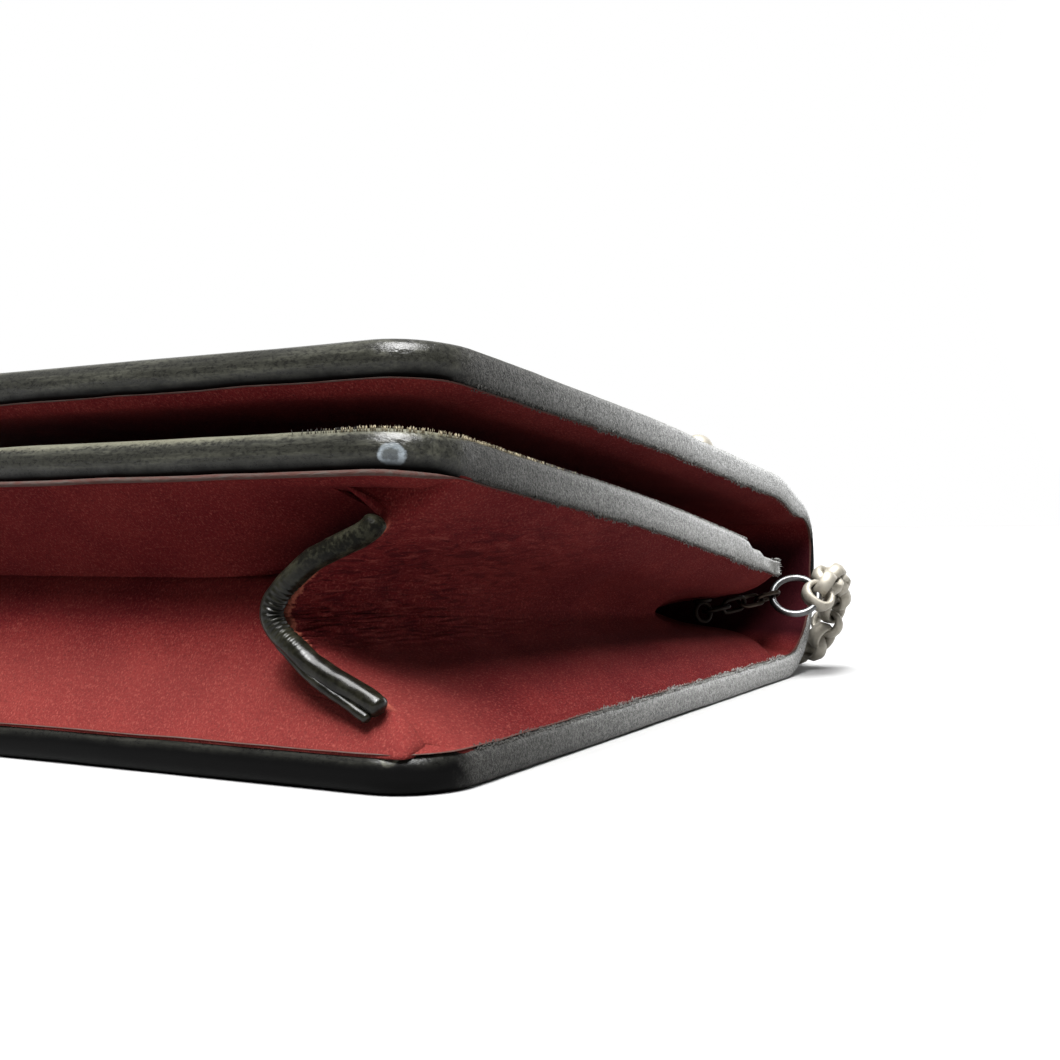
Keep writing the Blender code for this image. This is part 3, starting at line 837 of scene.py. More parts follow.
def joined_steps(*runs: tuple[float, float, int]) -> Array:
    """Numbers over runs that follow each other, each from its start to its end with a count of its own."""
    steps = [np.linspace(start, end, count) for start, end, count in runs]
    return np.concatenate([numbers[:-1] for numbers in steps[:-1]] + [steps[-1]])


def smooth_point(points: Sequence[Sequence[float]], share: float) -> Array:
    """The point at this share of a smooth curve through the points.

    Args:
        points: The points that the curve passes.
        share: From 0 at the first to 1 at the last.

    Returns:
        The point.
    """
    last = len(points) - 1
    where = min(max(share, 0.0) * last, last - 1e-9)
    number = int(where)
    part = where - number
    ends = [np.asarray(points[min(max(number + step, 0), last)], float) for step in (-1, 0, 1, 2)]
    weights = (
        -0.5 * part + part**2 - 0.5 * part**3,
        1.0 - 2.5 * part**2 + 1.5 * part**3,
        0.5 * part + 2.0 * part**2 - 1.5 * part**3,
        -0.5 * part**2 + 0.5 * part**3,
    )
    return sum(end * weight for end, weight in zip(ends, weights))


def even_path(points: Sequence[Sequence[float]], spacing: float) -> Array:
    """Points at an even spacing along a smooth curve.

    Args:
        points: The points that the curve passes.
        spacing: The spacing wanted.

    Returns:
        The points, one per row.
    """
    fine = np.array([smooth_point(points, number / PATH_STEPS) for number in range(PATH_STEPS + 1)])
    steps = np.linalg.norm(np.diff(fine, axis=0), axis=1)
    travelled = np.concatenate(([0.0], np.cumsum(steps)))
    count = max(2, round(travelled[-1] / spacing))
    wanted = np.linspace(0.0, travelled[-1], count + 1)
    return np.stack([np.interp(wanted, travelled, fine[:, axis]) for axis in range(3)], axis=1)


def path_frames(path: Array, up: Sequence[float]) -> tuple[Array, Array, Array]:
    """Directions along a path that turn as little as they can.

    Args:
        path: The path's points.
        up: About the second direction at the start.

    Returns:
        For each point the direction ahead and two across it.
    """
    ahead = np.gradient(path, axis=0)
    ahead /= np.linalg.norm(ahead, axis=1)[:, None]
    first = np.zeros_like(path)
    carried = np.asarray(up, float)
    for number, way in enumerate(ahead):
        carried = carried - way * carried.dot(way)
        carried = carried / np.linalg.norm(carried)
        first[number] = carried
    return ahead, first, np.cross(ahead, first)


def tube(path: Array, ring: Callable[[int, float], float], sides: int, up: Sequence[float], cap: float) -> MeshParts:
    """A tube along a path, with domed ends.

    Args:
        path: The points of its centre line.
        ring: Radius at a point's number and an angle round the tube.
        sides: Points round the tube.
        up: About where angle 0 points at the start.
        cap: How far the domed ends stand out.

    Returns:
        The mesh.
    """
    ahead, first, second = path_frames(path, up)
    angles = [2.0 * math.pi * number / sides for number in range(sides)]
    rises = [math.pi / 2.0 * (number + 0.5) / CAP_RINGS for number in range(CAP_RINGS)]
    dome = [(math.sin(angle), cap * math.cos(angle)) for angle in rises]
    last = len(path) - 1
    stations = [(0, share, -step) for share, step in dome]
    stations += [(number, 1.0, 0.0) for number in range(last + 1)]
    stations += [(last, share, step) for share, step in reversed(dome)]
    points = []
    for number, share, step in stations:
        centre = path[number] + ahead[number] * step
        for angle in angles:
            across = first[number] * math.cos(angle) + second[number] * math.sin(angle)
            points.append(centre + across * ring(number, angle) * share)
    made = MeshParts()
    made.add(points, grid_faces(len(stations), sides, round_columns=True))
    made.add_faces([tuple(reversed(range(sides))), tuple(range(len(points) - sides, len(points)))])
    return made


def add_fibre(made: MeshParts, root: Sequence[float], tip: Sequence[float], width: float, kind: int) -> None:
    """Add a pointed three-sided fibre to a mesh.

    Args:
        made: The mesh.
        root: Where it starts.
        tip: Where it ends.
        width: Its radius at the root.
        kind: The number of its finish.
    """
    start, end = Vector(root), Vector(tip)
    ahead = (end - start).normalized()
    beside = ahead.cross(Vector((0.31, 0.52, 0.79))).normalized()
    above = ahead.cross(beside)
    points = []
    for share, girth in ((0.0, 1.0), (0.6, 0.75)):
        for cosine, sine in circle(3):
            across = beside * cosine + above * sine
            points.append(start.lerp(end, share) + across * width * girth)
    points.append(end)
    made.add(points, ((0, 1, 4, 3), (1, 2, 5, 4), (2, 0, 3, 5), (3, 4, 6), (4, 5, 6), (5, 3, 6), (2, 1, 0)), kind)


# ---- folded panels


@dataclass
class FoldLine:
    """Outer face of a folded panel as a line in the YZ plane, with round bends at its corners."""

    corners: Sequence[Pair]
    radii: Sequence[float]
    first_bow: float
    runs: list[tuple[float, Array, float, float, float]] = field(init=False)

    def __post_init__(self) -> None:
        """Work out the straight and round runs."""
        self.runs = []
        place = np.array(self.corners[0])
        bow = self.first_bow
        for corner, following, radius in zip(self.corners[1:-1], self.corners[2:], self.radii):
            before = np.array(corner) - place
            before /= np.linalg.norm(before)
            after = np.array(following) - np.array(corner)
            after /= np.linalg.norm(after)
            heading = math.atan2(before[1], before[0])
            turn = math.atan2(before[1] * after[0] - before[0] * after[1], before.dot(after))
            trim = radius * math.tan(turn / 2.0)
            entry = np.array(corner) - before * trim
            self.runs.append((float(np.linalg.norm(entry - place)), place, heading, 0.0, bow))
            self.runs.append((radius * turn, entry, heading, radius, 0.0))
            place = np.array(corner) + after * trim
            bow = 0.0
        last = np.array(self.corners[-1]) - place
        self.runs.append((float(np.linalg.norm(last)), place, math.atan2(last[1], last[0]), 0.0, bow))

    @property
    def length(self) -> float:
        """Length of the outer face's line."""
        return sum(run[0] for run in self.runs)

    def place(self, distance: float, depth: float) -> Pair:
        """Y and Z of a point of the panel.

        Args:
            distance: How far along the outer face it is.
            depth: How far inside the outer face it is.

        Returns:
            Y and Z.
        """
        for length, start, heading, radius, bow in self.runs[:-1]:
            if distance <= length:
                break
            distance -= length
        else:
            length, start, heading, radius, bow = self.runs[-1]
        sine, cosine = math.sin(heading), math.cos(heading)
        if radius == 0.0:
            bowed = depth - bow * math.sin(math.pi * distance / length) ** 2
            return start[0] + cosine * distance + sine * bowed, start[1] + sine * distance - cosine * bowed
        turned = heading - distance / radius
        reach = radius - depth
        return (
            start[0] + sine * radius - math.sin(turned) * reach,
            start[1] - cosine * radius + math.cos(turned) * reach,
        )

    def travelled(self, run: int) -> float:
        """Distance along the line at which a run starts."""
        return sum(length for length, *_rest in self.runs[:run])


@dataclass
class FoldedShell:
    """A closed slab with round corners and a rounded rim, folded along a line.

    Depths are inside the line. The rim's fullness is the power of its curve: 2 is an ellipse. The bends'
    spacing is a share of their radius.
    """

    line: FoldLine
    span: Pair
    width: float
    corners: Pair
    outer: DepthAt
    inner: DepthAt
    reach: float
    fullness: DepthAt = lambda x, v: 2.0
    ragged: Callable[[float, float, float], float] = lambda x, v, d: 0.0
    spacing: float = 0.0022
    bend_spacing: float = 0.09
    columns: int = 57
    rim_rows: int = 11
    corner_rows: int = 9

    def _rows(self) -> list[tuple[float, float, float, float]]:
        """Rows across the slab.

        Returns:
            For each row its distance, half its width, and its rim's direction across and along.
        """
        start, end = self.span[0] + self.reach, self.span[1] - self.reach
        half = self.width / 2.0 - self.reach
        first, last = (radius - self.reach for radius in self.corners)
        rows = []
        for number in range(self.corner_rows):
            angle = math.pi / 2.0 * (1.0 - number / self.corner_rows)
            inward = half - first * (1.0 - math.cos(angle))
            rows.append((start + first * (1.0 - math.sin(angle)), inward, angle, -1.0))
        rows += [(distance, half, 0.0, 1.0) for distance in self._stations(start + first, end - last)]
        for number in range(1, self.corner_rows + 1):
            angle = math.pi / 2.0 * number / self.corner_rows
            inward = half - last * (1.0 - math.cos(angle))
            rows.append((end - last * (1.0 - math.sin(angle)), inward, angle, 1.0))
        return [(distance, reach, math.cos(angle), math.sin(angle) * sign) for distance, reach, angle, sign in rows]

    def _stations(self, first: float, last: float) -> list[float]:
        """Distances of the straight part's rows, closer together in the bends.

        Args:
            first: Where they start.
            last: Where they end.

        Returns:
            The distances.
        """
        stations, travelled = [first], 0.0
        for length, _start, _heading, radius, _bow in self.line.runs:
            low, high = max(first, travelled), min(last, travelled + length)
            if high > low:
                count = math.ceil((high - low) / (radius * self.bend_spacing if radius else self.spacing))
                stations += [low + (high - low) * (number + 1) / count for number in range(count)]
            travelled += length
        return stations

    def edge_distance(self, x: float, v: float) -> float:
        """How far a point lies inside the slab's round-cornered outline.

        Args:
            x: X of the point.
            v: Its distance along the line.

        Returns:
            The distance to the outline.
        """
        middle = (self.span[0] + self.span[1]) / 2.0
        radius = self.corners[0] if v < middle else self.corners[1]
        over_x = abs(x) - self.width / 2.0 + radius
        over_v = abs(v - middle) - (self.span[1] - self.span[0]) / 2.0 + radius
        outside = math.hypot(max(over_x, 0.0), max(over_v, 0.0)) + min(max(over_x, over_v), 0.0)
        return radius - outside

    def _fold(self, x: float, v: float, depth: float) -> Point:
        """Place of a point of the slab, folded along the line."""
        y, z = self.line.place(v, depth)
        return x, y, z

    def build(self) -> MeshParts:
        """Make the shell.

        Returns:
            The mesh.
        """
        rows = self._rows()
        shares = np.linspace(-1.0, 1.0, self.columns)
        made = MeshParts()
        for kind, depth_at in ((Face.OUTER, self.outer), (Face.INNER, self.inner)):
            places = [(share * half, v) for v, half, _nx, _nv in rows for share in shares]
            points = [self._fold(x, v, depth_at(x, v)) for x, v in places]
            faces = grid_faces(len(rows), self.columns)
            made.add(points, [face[::-1] for face in faces] if kind is Face.OUTER else faces, kind)
        self._add_rim(made, rows, shares)
        return made

    def _add_rim(self, made: MeshParts, rows: list[tuple[float, float, float, float]], shares: Array) -> None:
        """Join the two faces with a rounded rim.

        Args:
            made: The mesh, which holds the outer face's points and then the inner face's.
            rows: The rows of the faces.
            shares: The columns, as shares of half a row.
        """
        last, columns = len(rows) - 1, self.columns
        loop = [(0, column, 0.0, -1.0) for column in range(columns - 1)]
        loop += [(row, columns - 1, rows[row][2], rows[row][3]) for row in range(last)]
        loop += [(last, column, 0.0, 1.0) for column in range(columns - 1, 0, -1)]
        loop += [(row, 0, -rows[row][2], rows[row][3]) for row in range(last, 0, -1)]
        count = len(loop)
        bands = self.rim_rows
        ring = []
        for band in range(1, bands):
            angle = math.pi * band / bands
            for row, column, nx, nv in loop:
                v, half = rows[row][0], rows[row][1]
                x = shares[column] * half
                power = 2.0 / self.fullness(x + nx * self.reach, v + nv * self.reach)
                out = self.reach * math.sin(angle) ** power
                top, low = self.outer(x, v), self.inner(x, v)
                side = math.copysign(abs(math.cos(angle)) ** power, math.cos(angle))
                depth = (top + low) / 2.0 - side * (low - top) / 2.0
                out += self.ragged(x, v, (depth - top) / (low - top))
                ring.append(self._fold(x + nx * out, v + nv * out, depth))
        start = made.add(ring, grid_faces(bands - 1, count, round_columns=True), Face.RIM)
        offset = len(rows) * columns
        for number, (row, column, _nx, _nv) in enumerate(loop):
            after = (number + 1) % count
            row_2, column_2 = loop[after][:2]
            top, top_2 = row * columns + column, row_2 * columns + column_2
            first, first_2 = start + number, start + after
            final, final_2 = first + (bands - 2) * count, first_2 + (bands - 2) * count
            quads = [(top, top_2, first_2, first), (final, final_2, top_2 + offset, top + offset)]
            made.add_faces(quads, Face.RIM)


@dataclass
class Panels:
    """The folded wrap and the front panel, each with its lining.

    A skive step has its start, run and drop. The fringe's run is below 0 along the bottom edge.
    """

    spine_top_radius: float = 0.0100
    spine_bottom_radius: float = 0.0185
    flap_bend_below_spine: float = 0.0200
    flap_bend_depth: float = 0.0392
    flap_bend_radius: float = 0.0420
    flap_bow: float = 0.0008
    front_bow: float = 0.0009
    front_top_corner: float = 0.0030
    spine_leather: float = 0.0008
    spine_foot: float = 0.0006
    edge_reach: float = 0.0018
    skived_from: float = 0.1075
    skive_wave: float = 0.0016
    skive_steps: tuple[Point, ...] = ((0.0, 0.0022, 0.0012), (0.0075, 0.0020, 0.0008))
    thinning_lead: float = 0.008
    thinning_run: float = 0.007
    end_fullness: float = 2.1
    wrap_side_fullness: float = 1.6
    front_side_fullness: float = 1.8
    side_margin: float = 0.004
    side_run: float = 0.010
    tuft_count: int = 1500
    tuft_seat: Pair = (0.00002, 0.00055)
    tuft_reach: Pair = (0.00014, 0.00044)
    tuft_width: Pair = (0.00007, 0.00013)
    fringe_count: int = 1500
    fringe_seed: int = 11
    fringe_run: Pair = (-0.0100, 0.1120)
    fringe_inset: float = 0.0006
    fringe_depth: float = 0.00045
    fringe_reach: Pair = (0.00005, 0.00016)
    fringe_width: Pair = (0.00003, 0.00007)
    end_fibre_count: int = 420
    end_fibre_inset: float = 0.0012
    lining_inset: float = 0.0004
    lining_sink: float = 0.0001
    lining_reach: float = 0.0004
    lining_edge: float = 0.00012
    front_lining_end: float = 0.0009
    front_lip: float = 0.0006
    pared: float = 0.0030

    def wrap_line(self) -> FoldLine:
        """Outer face of the wrap, from the flap's free edge over the spine to the back panel's edge.

        Returns:
            The line.
        """
        size = SIZES
        corners = (
            (size.y(size.flap_setback), size.base_depth),
            (size.y(size.height - self.flap_bend_below_spine), self.flap_bend_depth),
            (size.y(size.height), size.spine_depth),
            (size.y(size.height), 0.0),
            (size.y(0.0), 0.0),
        )
        radii = (self.flap_bend_radius, self.spine_top_radius, self.spine_bottom_radius)
        return FoldLine(corners, radii, self.flap_bow)

    def front_line(self) -> FoldLine:
        """Outer face of the front panel, from the bottom edge to its free edge."""
        size = SIZES
        start = (size.y(0.0), size.front_base_rise)
        return FoldLine((start, (size.y(size.front_height), size.front_top_rise)), (), self.front_bow)

    def front_lining_height(self, along: float) -> float:
        """Height of the front lining's inner face.

        Args:
            along: Distance from the bottom edge.

        Returns:
            The height above the floor.
        """
        line = self.front_line()
        depth = SIZES.front_thickness + SIZES.gap + SIZES.lining_thickness
        drift = line.place(along, depth)[0] - SIZES.y(along)
        return line.place(along - drift, depth)[1]

    def wrap_depth(self, v: float) -> float:
        """Thickness of the wrap, which is a single thin leather at the spine.

        Args:
            v: Distance along the wrap's line.

        Returns:
            The thickness.
        """
        line = self.wrap_line()
        top_in, top_out = line.travelled(3), line.travelled(4)
        low_in, low_out = line.travelled(5), line.travelled(6)
        entered = eased((v - top_in + self.thinning_lead) / (top_out - top_in + self.thinning_run))
        thin = entered * (1.0 - eased((v - low_in) / (low_out - low_in)))
        leather = self.spine_leather + self.spine_foot * eased((v - top_out) / (low_in - top_out))
        return SIZES.wrap_thickness + (leather - SIZES.wrap_thickness) * thin

    def front_drop(self, x: float, v: float) -> float:
        """How much the front panel's outer skin is skived away near its free edge."""
        at = v + ripple(x, v, 0.0, 260.0, 4.0) * self.skive_wave - self.skived_from
        return sum(drop * eased((at - start) / run) for start, run, drop in self.skive_steps)

    def wrap_outer(self, x: float, v: float) -> float:
        """Depth of the wrap's outer face, which is slightly uneven."""
        return 0.00012 * ripple(x, v, 0.0, 55.0, 1.0)

    def wrap_inner(self, x: float, v: float) -> float:
        """Depth of the wrap's inner face."""
        return self.wrap_depth(v) + 0.00016 * ripple(x, v, 0.0, 95.0, 2.0)

    def front_outer(self, x: float, v: float) -> float:
        """Depth of the front panel's outer face."""
        return self.front_drop(x, v) + 0.00018 * ripple(x, v, 0.0, 80.0, 3.0)

    def front_inner(self, x: float, v: float) -> float:
        """Depth of the front panel's inner face."""
        return SIZES.front_thickness + 0.00016 * ripple(x, v, 0.0, 95.0, 7.0)

    def side_fullness(self, x: float, from_end: float, extra: float) -> float:
        """Fullness of a panel's rim, which is squarer along the sides except near the panel's ends."""
        beside = eased((abs(x) - SIZES.width / 2.0 + self.side_margin) / self.side_margin)
        return self.end_fullness + extra * beside * eased((from_end - self.side_margin) / self.side_run)

    def worn(self, x: float, v: float, share: float) -> float:
        """How far a panel's rim stands out where it is worn, at a share of its thickness."""
        z = share * 0.004
        return 0.00010 * ripple(x, v, z, 420.0, 5.0) + 0.00005 * ripple(x, v, z, 1300.0, 6.0)

    def torn(self, x: float, v: float, share: float) -> float:
        """How far the front panel's rim stands out: worn, and torn near the mouth."""
        z = share * SIZES.front_thickness
        tear = 0.0008 * ripple(x, v, z, 620.0, 8.0) + 0.0004 * ripple(x, v, z, 1500.0, 9.0)
        return self.worn(x, v, share) + eased((v - SIZES.front_height + 0.010) / 0.008) * tear

    def build(self) -> None:
        """Make the four pieces."""
        self._wrap()
        self._front()

    def _wrap(self) -> None:
        """Make the wrap and its lining."""
        line, corner, inset = self.wrap_line(), SIZES.corner_radius, self.lining_inset
        made = FoldedShell(
            line, (0.0, line.length), SIZES.width, (corner, corner), self.wrap_outer, self.wrap_inner,
            self.edge_reach, lambda x, v: self.side_fullness(x, min(v, line.length - v), self.wrap_side_fullness),
            self.worn,
        ).build()
        self._tufts(made, line, (0.010, line.travelled(3) - 0.002), self.wrap_inner)
        self._tufts(made, line, (line.travelled(6) + 0.001, line.length - 0.010), self.wrap_inner)
        made.piece("wrap", (LEATHER, EDGE, SUEDE, FUZZ), "black_leather", "outer_wrap")
        self._lining(
            "wrap_inner_lining", line, (inset, line.length - inset), (corner - inset, corner - inset),
            self.wrap_inner, "wrap_lining",
        )

    def _front(self) -> None:
        """Make the front panel and its lining."""
        line, corner, inset = self.front_line(), SIZES.corner_radius, self.lining_inset
        made = FoldedShell(
            line, (0.0, line.length), SIZES.width, (corner, self.front_top_corner), self.front_outer,
            self.front_inner, self.edge_reach, lambda x, v: self.side_fullness(x, v, self.front_side_fullness),
            self.torn, rim_rows=19,
        ).build()
        self._tufts(made, line, (0.012, line.length - 0.001), self.front_inner)
        self._fringe(made, line)
        made.piece("front_board", (LEATHER, EDGE, SUEDE, FUZZ, FIBRE), "black_leather", "front_panel")
        self._lining(
            "front_inner_lining", line, (inset, line.length - self.front_lining_end),
            (corner - inset, self.front_top_corner), self.front_inner, "front_lining", self.front_lip,
        )

    def _tufts(self, made: MeshParts, line: FoldLine, span: Pair, seat: DepthAt) -> None:
        """Add short tufts where the cut side edges of a panel meet its lining.

        Args:
            made: The panel's mesh.
            line: The panel's line.
            span: Where the tufts start and end along it.
            seat: Depth of the panel's inner face.
        """
        chance = random.Random(round(span[0] * 1e5))
        power = self.end_fullness + self.wrap_side_fullness
        for side in Side:
            for _number in range(self.tuft_count):
                v = chance.uniform(*span)
                edge = seat(side.value * SIZES.width / 2.0, v)
                above = chance.uniform(*self.tuft_seat)
                share = (1.0 - (1.0 - above / (edge / 2.0)) ** power) ** (1.0 / power)
                x = side.value * (SIZES.width / 2.0 - self.edge_reach * (1.0 - share))
                root = edge - above
                broad, fine = ripple(0.0, v, 0.0, 95.0, 6.0), ripple(x * 0.1, v, 0.0, 330.0, 5.0)
                clump = 0.35 + 1.5 * max(0.0, fine) + 0.9 * max(0.0, broad)
                reach = chance.uniform(*self.tuft_reach) * clump
                ahead = v + chance.uniform(-0.0002, 0.0002)
                tip = (x + side.value * reach * chance.uniform(0.1, 0.6), *line.place(ahead, root + 0.0001 + reach))
                add_fibre(made, (x, *line.place(v, root)), tip, chance.uniform(*self.tuft_width), Face.FUZZ)

    def _fringe(self, made: MeshParts, line: FoldLine) -> None:
        """Add the frayed fibres along the front panel's outer edge and its free end.

        Args:
            made: The panel's mesh.
            line: The panel's line.
        """
        chance = random.Random(self.fringe_seed)
        corner = SIZES.corner_radius - self.fringe_inset
        start = line.length - self.end_fibre_inset
        for side in Side:
            for _number in range(self.fringe_count):
                run = chance.uniform(*self.fringe_run)
                bright = eased((run + 0.0090) / 0.0110) * (1.0 - eased((run - 0.0180) / 0.0260))
                if run < 0.030 and chance.random() > 0.15 + bright:
                    continue
                turn = min(max(run / corner, 0.0), math.pi / 2.0)
                x = SIZES.width / 2.0 - SIZES.corner_radius + corner * math.sin(turn) + min(run, 0.0)
                v = SIZES.corner_radius - corner * math.cos(turn) + max(run - corner * math.pi / 2.0, 0.0)
                out_x, out_v = math.sin(turn), -math.cos(turn)
                reach = chance.uniform(*self.fringe_reach) * (1.0 + 0.6 * bright)
                lean = chance.uniform(-0.4, 1.3)
                root = (side.value * x, *line.place(v, self.fringe_depth))
                tip_x = x + out_x * reach * lean + chance.uniform(-0.0002, 0.0002) * out_v
                tip_v = v + out_v * reach * lean + chance.uniform(-0.0002, 0.0002) * out_x
                tip = (side.value * tip_x, *line.place(tip_v, -reach))
                width = chance.uniform(*self.fringe_width)
                add_fibre(made, root, tip, width, Face.FIBRE if chance.random() < bright else Face.FUZZ)
            for _number in range(self.end_fibre_count):
                x = side.value * (SIZES.width / 2.0 - chance.uniform(0.0, 0.0060) - 0.0008)
                depth = chance.uniform(0.0014, 0.0046)
                reach = 0.0011 + chance.uniform(0.0001, 0.0006)
                tip_x = x + side.value * chance.uniform(-0.0002, 0.0006)
                tip = (tip_x, *line.place(start + reach, depth + chance.uniform(-0.0003, 0.0003)))
                add_fibre(made, (x, *line.place(start, depth)), tip, chance.uniform(0.00006, 0.00014), Face.FUZZ)

    def relief(self, inset: float) -> float:
        """How much thinner than full a lining is this far inside its edge, where it is pared down."""
        return (SIZES.lining_thickness + SIZES.gap) * (1.0 - eased(inset / self.pared))

    def lining_relief(self, inset: float, along: float) -> float:
        """How much thinner than full a lining is at a place.

        Args:
            inset: Distance from the bag's side.
            along: Distance from its bottom edge.

        Returns:
            The difference.
        """
        corner = SIZES.corner_radius
        from_side, from_bottom = corner - inset, corner - along
        distance = min(inset, along)
        if from_side > 0.0 and from_bottom > 0.0:
            distance = corner - math.hypot(from_side, from_bottom)
        return self.relief(max(distance - self.lining_inset, 0.0))

    def _lining(
        self, name: str, line: FoldLine, span: Pair, corners: Pair, seat: DepthAt, node: str, lip: float = 0.0
    ) -> None:
        """Make a lining on a panel's inner side, pared thin towards its edge.

        Args:
            name: The piece's name.
            line: The panel's line.
            span: Where the lining starts and ends along it.
            corners: Radii of its start and end corners.
            seat: Depth of the panel's inner face.
            node: The CAD node that it stands for.
            lip: Thickness of its cut edge along the bag's bottom.
        """
        full = SIZES.lining_thickness + SIZES.gap

        def outer(x: float, v: float) -> float:
            """Depth of the face that lies on the panel."""
            return seat(x, v) - self.lining_sink

        def ragged(x: float, v: float, _share: float) -> float:
            """How far the cut edge stands out."""
            return 0.00022 * ripple(x, v, 0.0, 900.0, 11.0) + 0.00015 * ripple(x, v, 0.0, 300.0, 12.0)

        def inner(x: float, v: float) -> float:
            """Depth of the free face, which comes up to the panel at the edge."""
            cut = self.lining_edge + lip * (1.0 - eased((v - 0.003) / 0.006))
            return outer(x, v) + max(full - self.relief(shell.edge_distance(x, v)), cut)

        width = SIZES.width - 2.0 * self.lining_inset
        shell = FoldedShell(line, span, width, corners, outer, inner, self.lining_reach, ragged=ragged, rim_rows=6)
        shell.build().piece(name, (SUEDE, CUT_EDGE, SUEDE), "wine_leather", node)


# ---- gussets and piping


@dataclass
class Gussets:
    """Side gussets folded inward, their piping and the bottom gusset.

    A section has its share of the length, the lip's and the fold's shares of their insets, and the
    heights of the front lip, the fold and the back lip as shares of the room.
    """

    panels: Panels
    thickness: float = 0.0012
    start: float = 0.0042
    length: float = 0.1190
    seam_inset: float = 0.0005
    seam_start: float = 0.0140
    seam_end: float = 0.0045
    lip_inset: float = 0.0088
    fold_inset: float = 0.0232
    wall_in: float = 0.66
    wall_down: float = 0.45
    sink: float = 0.0004
    seam_run: float = 0.0035
    side_rows: int = 150
    wave_height: float = 0.00030
    crease_height: float = 0.00105
    crease_along: Pair = (0.026, 0.070)
    crease_across: float = 0.0070
    side_pared: float = 0.10
    bottom_pared: float = 0.12
    pared_edge: float = 0.12
    piping_radius: float = 0.00140
    piping_step: float = 0.00014
    piping_shift: float = 0.00038
    piping_shift_run: float = 0.0050
    bend_shift: float = 0.00025
    bend_shift_run: float = 0.0040
    wrinkle_height: float = 0.00022
    wrinkle_pitch: float = 0.00078
    wrinkle_run: float = 0.0042
    flange_radius: float = 0.00066
    flange_from: float = 0.06
    flange_lean: float = 152.0
    flange_offset: Pair = (0.00066, 0.00112)
    flange_opens: float = 0.40
    bottom_seam_inset: float = 0.0006
    bottom_fold_inset: float = 0.0150
    bottom_fold_rise: float = 0.60
    bottom_near_end: float = 0.0100
    bottom_hollow: float = 0.0135
    bottom_hollow_reach: float = 0.0105
    wrap_round_height: Pair = (0.0088, 0.0110)
    wrap_round_overlap: float = 0.00068
    wrap_round_run: float = 0.0036
    wrap_round_bend: float = 0.0012
    wrap_round_slip: float = 0.0013
    sections: tuple[tuple[float, ...], ...] = (
        (0.00, 1.00, 1.00, 0.860, 0.487, 0.120),
        (0.10, 0.86, 0.90, 0.860, 0.490, 0.125),
        (0.25, 0.78, 0.80, 0.860, 0.495, 0.135),
        (0.50, 0.74, 0.72, 0.860, 0.500, 0.150),
        (0.78, 0.72, 0.66, 0.850, 0.500, 0.180),
        (0.86, 0.74, 0.85, 0.840, 0.530, 0.200),
        (0.94, 0.78, 1.15, 0.840, 0.550, 0.210),
        (1.00, 0.90, 1.15, 0.860, 0.550, 0.210),
    )

    def section(self, share: float) -> list[float]:
        """Section of a side gusset, between those that are given.

        Args:
            share: Share of the gusset's length.

        Returns:
            The lip's and the fold's share and the three heights.
        """
        for before, after in zip(self.sections, self.sections[1:]):
            if share <= after[0]:
                part = eased((share - before[0]) / (after[0] - before[0]))
                return [low + (high - low) * part for low, high in zip(before[1:], after[1:])]
        return list(self.sections[-1][1:])

    def seam(self, along: float, start: float) -> float:
        """Inset of a seam, which follows the panel's round corner to its start near the bottom.

        Args:
            along: Distance from the bottom edge.
            start: The inset at the gusset's lower end.

        Returns:
            The inset from the bag's side.
        """
        corner = SIZES.corner_radius
        radius = corner - self.seam_inset
        from_side = corner - along
        arc = self.seam_inset if from_side <= 0.0 else corner - math.sqrt(max(radius**2 - from_side**2, 0.0))
        return arc + (start - arc) * (1.0 - eased((along - self.start) / self.seam_run))

    def profile(self, along: float) -> list[Pair]:
        """Key points of a side gusset's section, from the front seam to the back seam.

        Args:
            along: Distance from the bottom edge.

        Returns:
            Inset and height of each point.
        """
        share = min(max((along - self.start) / self.length, 0.0), 1.0)
        lip, fold, front_lip, crease, back_lip = self.section(share)
        low = SIZES.wrap_thickness + SIZES.gap + SIZES.lining_thickness
        high = self.panels.front_lining_height(along)
        room = high - low
        lip_at, fold_at = self.lip_inset * lip, self.fold_inset * fold
        wall = lip_at + (fold_at - lip_at) * self.wall_in
        front_seam, back_seam = self.seam(along, self.seam_start), self.seam(along, self.seam_end)
        return [
            (front_seam, high + self.panels.lining_relief(front_seam, along) + self.sink),
            (lip_at, low + room * front_lip),
            (wall, low + room * (front_lip + (crease - front_lip) * self.wall_down)),
            (fold_at, low + room * crease),
            (wall, low + room * (back_lip + (crease - back_lip) * self.wall_down)),
            (lip_at, low + room * back_lip),
            (back_seam, low - self.panels.lining_relief(back_seam, along) - self.sink),
        ]

    def point(self, along: float, across: float) -> Array:
        """Inset and height of a side gusset's middle surface at a share across, front to back."""
        return smooth_point(self.profile(along), across)

    def inset_behind(self, height: float, clearance: float) -> float:
        """Inset at which a piece clears the inner side of a side gusset's lower end.

        Args:
            height: The piece's height above the floor.
            clearance: How far it stays away.

        Returns:
            The inset from the bag's side.
        """
        line = [self.point(self.start, number / 60.0) for number in range(61)]
        nearest = min((line[0], line[-1]), key=lambda seam: abs(seam[1] - height))
        insets = [nearest[0] + clearance]
        for before, after in zip(line, line[1:]):
            run = (after - before) / np.linalg.norm(after - before)
            behind = (before + after) / 2.0 + np.array((-run[1], run[0])) * clearance
            if abs(behind[1] - height) < clearance / 2.0:
                insets.append(behind[0])
        return max(insets)

    def build(self) -> None:
        """Make the gussets and the piping."""
        for side in Side:
            self._side(side)
            self._piping(side)
        self._bottom()

